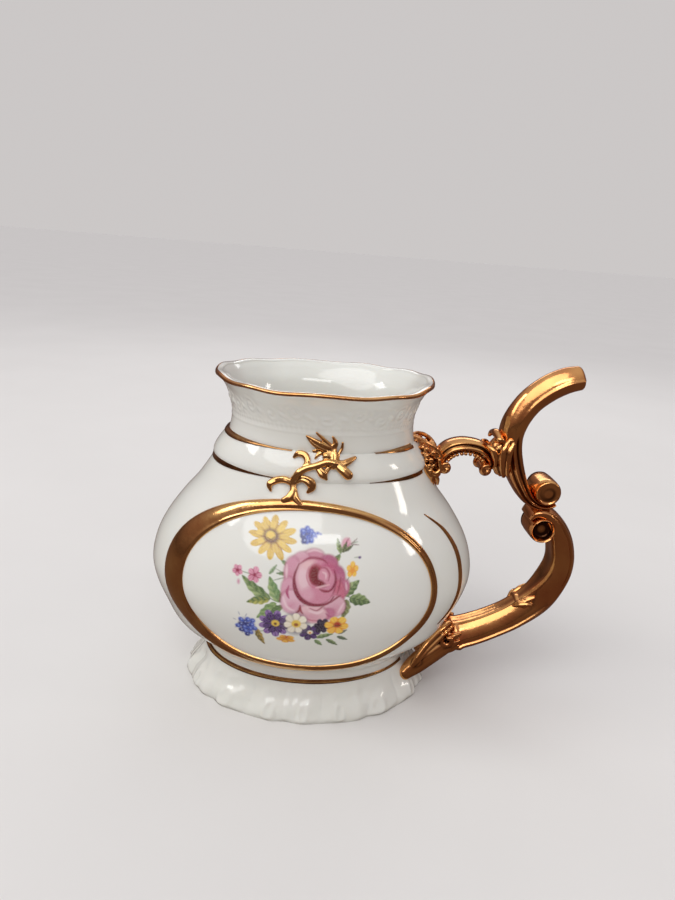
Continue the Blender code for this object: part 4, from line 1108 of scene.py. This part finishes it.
def stem_section(turn, share):
    """A roofed bar with a keel at the thumb rest, and three-ridged from the arm down to the volute."""
    across = squared(np.cos(turn), 0.88) + 0 * share
    depth = squared(np.sin(turn), 0.88) + 0 * share
    ridged = smoothstep(share, 0.40, 0.52)
    plain = 1 - smoothstep(share, 0.30, 0.47)
    keel = plain * np.exp(-((across - 0.12) / 0.13) ** 2)
    depth = depth * roofed(across, 0.15, 0.34 * plain) * (1 - 0.17 * ridged * flutes(across, 3) + 0.07 * keel)
    across = across * (1 - 0.10 * ridged * np.exp(-(depth / 0.25) ** 2))
    return across, depth


def scroll_section(turn, share):
    """A hollow inner face, a thin bead near the outer edge above, and a roofed flank with a keel below."""
    across = squared(np.cos(turn), 0.76) + 0 * share
    depth = squared(np.sin(turn), 0.76) + 0 * share
    inner = np.maximum(0, -across)
    across = across + smoothstep(share, 0.10, 0.22) * 0.16 * inner * np.maximum(0, 1 - (depth / 0.75) ** 2)
    upper = (1 - smoothstep(share, 0.42, 0.56)) * smoothstep(share, 0.04, 0.12)
    bead = np.exp(-((across - 0.62) / 0.06) ** 2) - 0.9 * np.exp(-((across - 0.46) / 0.09) ** 2)
    bead = bead - 0.9 * np.exp(-((across - 0.78) / 0.07) ** 2)
    lower = smoothstep(share, 0.42, 0.62)
    keel = np.exp(-((across - 0.48) / 0.10) ** 2) - 0.8 * np.exp(-((across - 0.26) / 0.10) ** 2)
    lip = 1 + 0.06 * np.exp(-((share - 0.985) / 0.012) ** 2)
    depth = depth * roofed(across, 0.45, 0.44 * lower) * (1 + 0.06 * upper * bead + 0.05 * lower * keel)
    return across * lip, depth * lip


def arm_section(turn, share):
    """Two ridges side by side on both faces."""
    across = squared(np.cos(turn), 0.80) + 0 * share
    depth = squared(np.sin(turn), 0.80) + 0 * share
    return across, depth * (1 - 0.22 * flutes(across + 0.16, 2.4))


def volute_piece(name, centre, radius, half, node, turns=1.9, start=0.0, boss=1.0):
    """A rolled scroll end: a drum across the handle, with a raised spiral and a boss on both its faces.

    Where boss is negative, each face has a hollow instead.
    """
    x, z = centre
    around = 96
    turn = np.arange(around) * TURN / around
    share = (0.04, 0.12, 0.2, 0.28, 0.33, 0.38, 0.44, 0.5, 0.56, 0.62, 0.68, 0.74, 0.8, 0.86, 0.92, 0.97)
    rings = []
    for side in (-1, 1):
        face = []
        for s in share:
            spiral = 0.5 + 0.5 * np.cos(TURN * turns * s - side * turn + start)
            button = 1.15 * math.sqrt(max(0.0, 1 - (s / 0.36) ** 2))
            relief = 0.09 * radius * spiral * smoothstep(s, 0.3, 0.45) * (1 - smoothstep(s, 0.86, 0.97))
            rim = 0.10 * radius * math.exp(-((s - 0.84) / 0.08) ** 2)
            y = half - 0.10 * radius + relief * max(boss, 0.25) + rim + 0.16 * radius * button * max(boss, 0)
            y = y - 0.42 * radius * max(-boss, 0) * (1 - smoothstep(s, 0.5, 0.86))
            y = np.minimum(y, half + 0.12 * radius) - 0.16 * radius * smoothstep(s, 0.9, 1.0)
            face.append(np.stack([x + radius * s * np.cos(turn), side * y + 0 * turn,
                                  z + radius * s * np.sin(turn)], -1))
        rings.append(face)
    barrel = []
    for y in np.linspace(-1, 1, 15):
        swell = 1.0 - 0.10 * abs(y) ** 6
        barrel.append(np.stack([x + radius * swell * np.cos(turn), 0 * turn + y * (half - 0.16 * radius),
                                z + radius * swell * np.sin(turn)], -1))
    stack = np.array([*rings[0], *barrel, *reversed(rings[1])])
    piece = tube_piece(name, stack, handle_gold, "gilt_handle", smooth_angle=75)
    mark_crevices(piece.data, VOLUTE_CREVICE)
    stands_for(piece, node)


def coil(centre, side, reaches, step, start, rise):
    """Points round a little scroll on one flank of the handle, one for each reach, rising outward."""
    x, y, z = centre
    points = []
    for k, reach in enumerate(reaches):
        turn = step * k + start
        points.append((x + reach * math.cos(turn), side * (y + rise * k), z + reach * math.sin(turn)))
    return points


def make_top_plate():
    """The acanthus bracket between arm and shoulder: a shield with rosettes, curls and beaded edges."""
    clay = Clay()
    spine = [(37.6, 0, 112.2), (41.4, 0, 109.4), (43.8, 0, 105.6), (45.2, 0, 100.4), (47.0, 0, 95.4),
             (48.6, 0, 91.2)]
    for y, share in ((0, 1.0), (-3.4, 0.9), (3.4, 0.9), (-6.4, 0.7), (6.4, 0.7)):
        low = np.array(spine[1:-1]) + (-0.16 * abs(y), y, 0)
        clay.rod(low, [1.8 * share, 2.7 * share, 2.8 * share, 1.7 * share], sides=14)
    clay.rod(spine, [0.9, 1.8, 2.2, 2.2, 1.6, 0.8])
    for place in ((46.2, 4.8, 106.4), (47.0, 4.6, 102.6), (47.4, 3.6, 98.6)):
        for side in (-1, 1):
            clay.ball((place[0], side * place[1], place[2]), (2.4, 2.6, 2.8))
    for side in (-1, 1):
        # The rosette
        y = side * 8.6
        clay.ball((42.0, y, 106.6), (1.2, 1.3, 1.2))
        for petal in range(5):
            angle = TURN * petal / 5 + 0.5
            clay.ball((42.0 + 2.6 * math.cos(angle), 0.97 * y, 106.6 + 2.6 * math.sin(angle)),
                      (1.2, 1.1, 1.2))
        # The rolled upper edge, and the beaded edge that follows the shoulder
        clay.rod([(37.0, y * 0.25, 112.4), (40.4, y * 0.70, 111.9), (43.8, y * 0.90, 110.6),
                  (46.6, y * 0.88, 108.4), (48.6, y * 0.70, 105.4)], [0.6, 0.8, 0.9, 1.0, 0.8])
        for share in np.linspace(0, 1, 9):
            place = (37.4 + 8.6 * share + 1.4 * math.sin(math.pi * share),
                     y * (0.5 + 0.6 * math.sin(2.4 * share + 0.3)), 111.6 - 17.8 * share)
            clay.ball(place, (0.85, 0.85, 0.95))
        # Scrolls below the rosette
        clay.rod([(47.4, y * 0.86, 104.6), (48.2, y * 0.92, 101.0), (46.0, y * 1.0, 99.2),
                  (44.2, y * 1.0, 101.0), (45.2, y * 1.0, 102.8)], [0.9, 1.0, 1.0, 0.8, 0.6])
        clay.rod([(41.0, y * 1.02, 103.6), (42.6, y * 1.06, 100.4), (44.8, y * 0.92, 97.4),
                  (46.6, y * 0.6, 94.0)], [0.7, 1.1, 1.1, 0.6])
        clay.rod([(45.4, y * 0.86, 98.4), (47.8, y * 0.7, 96.4), (48.8, y * 0.5, 93.4)], [0.9, 1.0, 0.5])
        clay.rod([(38.8, y * 0.82, 109.0), (39.0, y * 0.98, 106.4), (39.6, y * 1.02, 103.4)], [0.5, 0.7, 0.5])
    clay.fuse("gilt_top_plate", 0.25, handle_gold, "gilt_handle", ("handle_top_plate",), rounds=1)


def make_collar():
    """The leaf collar where the arm meets the stem: upright lobes, with two rolled edges on top."""
    clay = Clay()
    clay.rod([(74.6, 0, 99.4), (74.0, 0, 104.4), (74.0, 0, 109.4), (75.2, 0, 113.4)], [2.0, 3.4, 3.6, 2.6])
    for y, lean in ((-6.6, 0.0), (-4.2, -1.6), (-1.4, -2.4), (1.4, -2.4), (4.2, -1.6), (6.6, 0.0)):
        clay.rod([(75.6 + lean * 0.6, 0.7 * y, 98.6), (73.6 + lean, y, 103.6), (73.4 + lean, y, 109.6),
                  (75.6 + 0.5 * lean, 0.8 * y, 113.8)], [0.9, 1.35, 1.5, 0.8])
    for side in (-1, 1):
        clay.rod([(76.6, side * 6.4, 99.6), (75.8, side * 7.1, 104.0), (75.8, side * 7.2, 109.0),
                  (77.2, side * 6.2, 112.8)], [0.7, 1.1, 1.2, 0.8])
        # The leaf that folds over the arm's end, with the hollow between it and the bead above
        clay.rod([(67.6, side * 4.6, 110.6), (69.4, side * 5.9, 109.4), (70.6, side * 6.0, 106.6),
                  (71.2, side * 5.4, 103.2)], [0.9, 1.5, 1.4, 0.7])
        clay.rod([(70.2, side * 5.0, 113.2), (71.4, side * 5.8, 114.2), (73.2, side * 5.6, 113.6)],
                 [0.8, 1.3, 1.0])
    clay.rod([(71.6, -4.6, 114.6), (71.4, 0, 115.4), (71.6, 4.6, 114.6)], [1.5, 1.8, 1.5], outward=(0, 0, 1))
    clay.rod([(76.2, -5.2, 113.8), (76.0, 0, 114.8), (76.2, 5.2, 113.8)], [1.3, 1.5, 1.3], outward=(0, 0, 1))
    clay.fuse("gilt_collar", 0.26, handle_gold, "gilt_handle", ("handle_collar",))


def make_leaf_curl():
    """The small crumpled leaf that curls over the lower scroll's inner face, low along both its edges."""
    clay = Clay()
    clay.rod([(91.0, -4.6, 39.6), (91.4, 0.0, 40.6), (91.0, 4.6, 39.6)], [1.3, 1.5, 1.3], outward=(0, 0, 1))
    for side in (-1, 1):
        clay.rod([(89.2, side * 3.6, 38.4), (91.2, side * 5.0, 40.0), (93.8, side * 5.9, 40.8),
                  (95.8, side * 6.3, 40.8)], [0.9, 1.6, 1.4, 1.1], outward=(-0.6, side, 0.7), groove=0.3)
        clay.rod([(91.8, side * 4.4, 40.8), (94.4, side * 5.2, 42.4), (96.8, side * 5.8, 43.8)],
                 [1.2, 1.4, 0.9], outward=(-0.6, side, 0.7), groove=0.25)
        clay.ball((93.2, side * 5.9, 39.4), (1.2, 0.9, 0.9))
    clay.fuse("gilt_leaf_curl", 0.24, handle_gold, "gilt_handle", ("handle_leaf_curl",))


def make_foot_leaf():
    """The acanthus where the handle meets the bowl and the foot, with a long lobe down each flank."""
    clay = Clay()
    clay.rod([(58.4, 0, 27.6), (54.8, 0, 22.6), (51.4, 0, 16.6), (51.8, 0, 11.0)], [3.4, 5.2, 4.6, 2.4],
             sides=24)
    for side in (-1, 1):
        # The long lobe, its upper leaf and the vein between them
        clay.rod([(65.8, side * 5.0, 21.4), (59.6, side * 8.0, 20.4), (52.4, side * 11.6, 17.4),
                  (46.4, side * 14.4, 14.0), (42.2, side * 16.2, 11.0)], [3.6, 4.5, 4.7, 4.3, 3.2],
                 outward=(0.3, side, 0.2), flat=0.85, sides=24, groove=0.10)
        clay.rod([(61.4, side * 6.2, 28.6), (56.4, side * 10.4, 27.0), (51.0, side * 14.6, 23.8),
                  (46.8, side * 17.6, 19.4), (44.4, side * 18.6, 16.0)], [2.3, 2.8, 2.6, 1.8, 1.0],
                 outward=(0.5, side, 0.4), flat=0.75, groove=0.35)
        # A hollow curl beside the bar's end and a smaller one near the tip
        for x, y, z, size in ((60.0, 10.8, 24.4, 1.35), (46.8, 17.0, 17.2, 0.8)):
            spiral = coil((x, y, z), side, [size * (2.4 - 0.3 * k) for k in range(6)], 1.1, 2.4, 0.12 * size)
            clay.rod(spiral, [0.9 * size] * 5 + [0.6 * size], outward=(0.4, side, 0.3), sides=12)
        # Crumpled edges where the leaf leaves the bar
        for lift, reach in ((0.6, 0.0), (-2.0, 0.4), (4.4, -0.8)):
            clay.rod([(66.0, side * 8.2, 21.6 + lift), (62.4 - reach, side * 9.4, 20.8 + lift),
                      (59.2 - reach, side * 9.2, 19.4 + lift)], [0.9, 1.5, 1.0], outward=(0, side, 0),
                     groove=0.3)
    clay.fuse("gilt_foot_leaf", 0.34, handle_gold, "gilt_handle", ("handle_foot_leaf",), rounds=1)


def make_arm_beads():
    """Clay with two rows of beads in the hollow under the arm."""
    line = smooth(ARM, 6)
    ahead = unit(np.gradient(line[:, :2], axis=0))
    clay = Clay()
    spots = line[6:-8:3]
    for (x, z, thick, depth), (ax, az) in zip(spots, ahead[6:-8:3]):
        for side in (-1, 1):
            clay.ball((x + az * thick * 0.92, side * depth * 0.78, z - ax * thick * 0.92), (0.75, 0.75, 0.75))
    return clay


def make_arm_volute(name, centre, node, clay):
    """One of the little ball-like volutes at the arm's ends, fused with what the clay holds already."""
    x, z = centre
    clay.rod([(x, -4.6, z), (x, 0.0, z), (x, 4.6, z)], [1.6, 1.8, 1.6], outward=(0, 0, 1))
    for side in (-1, 1):
        clay.ball((x, side * 5.2, z), (2.6, 1.9, 2.6))
        spiral = coil((x, 6.1, z), side, [2.3 - 0.33 * k for k in range(6)], 0.9, 1.2, 0.16)
        clay.rod(spiral, [0.6] * 5 + [0.8], outward=(0, side, 0), sides=10)
    clay.fuse(name, 0.2, handle_gold, "gilt_handle", (node,))


def make_handle():
    bar_piece("gilt_stem", STEM, stem_section, "handle_stem", cap=0.45)
    bar_piece("gilt_lower_scroll", LOWER_SCROLL, scroll_section, "handle_lower_scroll", around=144, cap=0.4,
              crevice=0.4)
    bar_piece("gilt_arm", ARM, arm_section, "handle_arm")
    volute_piece("gilt_stem_volute", (95.0, 92.6), 5.6, 7.2, "handle_stem_volute", turns=1.3, start=0.6,
                 boss=0.35)
    volute_piece("gilt_lower_volute", (95.4, 75.8), 5.7, 7.4, "handle_lower_volute", start=2.2, boss=-1.0)
    make_top_plate()
    make_collar()
    make_leaf_curl()
    make_foot_leaf()
    make_arm_volute("gilt_arm_inner_volute", (50.6, 100.9), "handle_arm_inner_volute", make_arm_beads())
    make_arm_volute("gilt_arm_outer_volute", (67.4, 101.0), "handle_arm_outer_volute", Clay())


make_handle()


# ------------------------------------------------------------------ camera and stage

# The camera stands here, and looks this far round, down and tilted, in degrees. FOCAL_SHARE is its focal
# length as a share of the picture's height.
CAMERA_PLACE = (-11.7, -263.7, 185.6)
CAMERA_AZIMUTH = -4.0
CAMERA_PITCH = 17.12
CAMERA_ROLL = 4.51
FOCAL_SHARE = 676.0 / 900.0

# The floor's half width in metres, the floor's colour in reflections, and the colour behind everything
FLOOR_REACH = 12.0
REFLECTED_FLOOR = (0.13, 0.085, 0.07)
BACKDROP = (0.60, 0.575, 0.57, 1.0)


def make_camera():
    azimuth, pitch, roll = (math.radians(a) for a in (CAMERA_AZIMUTH, CAMERA_PITCH, CAMERA_ROLL))
    forward = Vector((-math.sin(azimuth) * math.cos(pitch), math.cos(azimuth) * math.cos(pitch),
                      -math.sin(pitch)))
    level = Vector((math.cos(azimuth), math.sin(azimuth), 0.0))
    up = level.cross(forward)
    right = level * math.cos(roll) + up * math.sin(roll)
    up = up * math.cos(roll) - level * math.sin(roll)
    data = bpy.data.cameras.new("camera")
    data.sensor_width = 36.0
    data.lens = data.sensor_width * FOCAL_SHARE
    data.clip_start = 0.01
    camera = bpy.data.objects.new("camera", data)
    place = Vector(((CAMERA_PLACE[0] + AXIS_X) * MM, CAMERA_PLACE[1] * MM, CAMERA_PLACE[2] * MM))
    camera.matrix_world = Matrix.Translation(place) @ Matrix((right, up, -forward)).transposed().to_4x4()
    bpy.context.scene.collection.objects.link(camera)
    bpy.context.scene.camera = camera


def link_light(name, light):
    lamp = bpy.data.objects.new(name, light)
    bpy.context.scene.collection.objects.link(lamp)
    return lamp


def make_stage():
    """A plain pale floor. Reflections see it dark brown, which gives the gold its contrast."""
    material, tree, shader = new_material("pale_floor", (0.74, 0.73, 0.71), 0.9)
    shader.inputs["Specular IOR Level"].default_value = 0.1
    mottle = add_noise(tree, 9.0, 4.0)
    pale = mix_colours(tree, remap(tree, mottle.outputs["Fac"], 0.0, 1.0), (0.73, 0.72, 0.70),
                       (0.75, 0.74, 0.72))
    rays = tree.nodes.new("ShaderNodeLightPath")
    shade = mix_colours(tree, rays.outputs["Is Glossy Ray"], pale, REFLECTED_FLOOR)
    tree.links.new(shade, shader.inputs["Base Color"])
    mesh = bpy.data.meshes.new("floor")
    corners = [(x * FLOOR_REACH, y * FLOOR_REACH, 0) for x, y in ((-1, -1), (1, -1), (1, 1), (-1, 1))]
    mesh.from_pydata(corners, [], [(0, 1, 2, 3)])
    mesh.materials.append(material)
    floor = bpy.data.objects.new("floor", mesh)
    bpy.context.scene.collection.objects.link(floor)


# What the lights aim at, in metres
LIT_POINT = Vector((0.0, 0.0, 0.07))


def softbox(name, place, size, energy, colour=(1.0, 1.0, 1.0)):
    data = bpy.data.lights.new(name, "AREA")
    data.shape = "RECTANGLE"
    data.size, data.size_y = size
    data.energy = energy
    data.color = colour
    lamp = link_light(name, data)
    lamp.location = place
    lamp.rotation_euler = (LIT_POINT - Vector(place)).to_track_quat("-Z", "Y").to_euler()


def make_studio():
    """A pale backdrop for the camera. Reflections see a room that is dark below and pale above."""
    world = bpy.data.worlds.new("studio")
    bpy.context.scene.world = world
    world.use_nodes = True
    tree = world.node_tree
    room = tree.nodes["Background"]
    room.inputs["Strength"].default_value = 1.0
    place = tree.nodes.new("ShaderNodeTexCoord")
    split = tree.nodes.new("ShaderNodeSeparateXYZ")
    tree.links.new(place.outputs["Generated"], split.inputs["Vector"])
    ramp = tree.nodes.new("ShaderNodeValToRGB")
    ramp.color_ramp.elements[0].position = 0.48
    ramp.color_ramp.elements[0].color = (0.05, 0.035, 0.03, 1.0)
    ramp.color_ramp.elements[1].position = 0.95
    ramp.color_ramp.elements[1].color = (0.72, 0.74, 0.78, 1.0)
    middle = ramp.color_ramp.elements.new(0.66)
    middle.color = (0.26, 0.17, 0.16, 1.0)
    height = tree.nodes.new("ShaderNodeMapRange")
    height.inputs["From Min"].default_value = -1.0
    tree.links.new(split.outputs["Z"], height.inputs["Value"])
    tree.links.new(height.outputs["Result"], ramp.inputs["Fac"])
    tree.links.new(ramp.outputs["Color"], room.inputs["Color"])
    backdrop = tree.nodes.new("ShaderNodeBackground")
    backdrop.inputs["Color"].default_value = BACKDROP
    rays = tree.nodes.new("ShaderNodeLightPath")
    choose = tree.nodes.new("ShaderNodeMixShader")
    tree.links.new(rays.outputs["Is Camera Ray"], choose.inputs["Fac"])
    tree.links.new(room.outputs["Background"], choose.inputs[1])
    tree.links.new(backdrop.outputs["Background"], choose.inputs[2])
    tree.links.new(choose.outputs["Shader"], tree.nodes["World Output"].inputs["Surface"])


def make_lights():
    sun = bpy.data.lights.new("soft_daylight", "SUN")
    sun.energy = 1.1
    sun.angle = math.radians(50)
    link_light("soft_daylight", sun).rotation_euler = (math.radians(32), math.radians(-24), 0.0)
    softbox("key_light", (-0.85, -0.12, 0.80), (0.35, 0.35), 2.1, (1.0, 0.99, 0.97))
    softbox("front_light", (0.15, -1.0, 0.95), (0.4, 0.2), 1.1, (0.98, 0.99, 1.0))
    softbox("side_light", (0.85, -0.25, 0.45), (0.12, 0.16), 0.5, (1.0, 0.93, 0.86))
    softbox("back_light", (0.15, 0.80, 0.60), (0.7, 0.2), 1.0)


make_camera()
make_stage()
make_studio()
make_lights()
bpy.context.scene.view_settings.view_transform = "Standard"
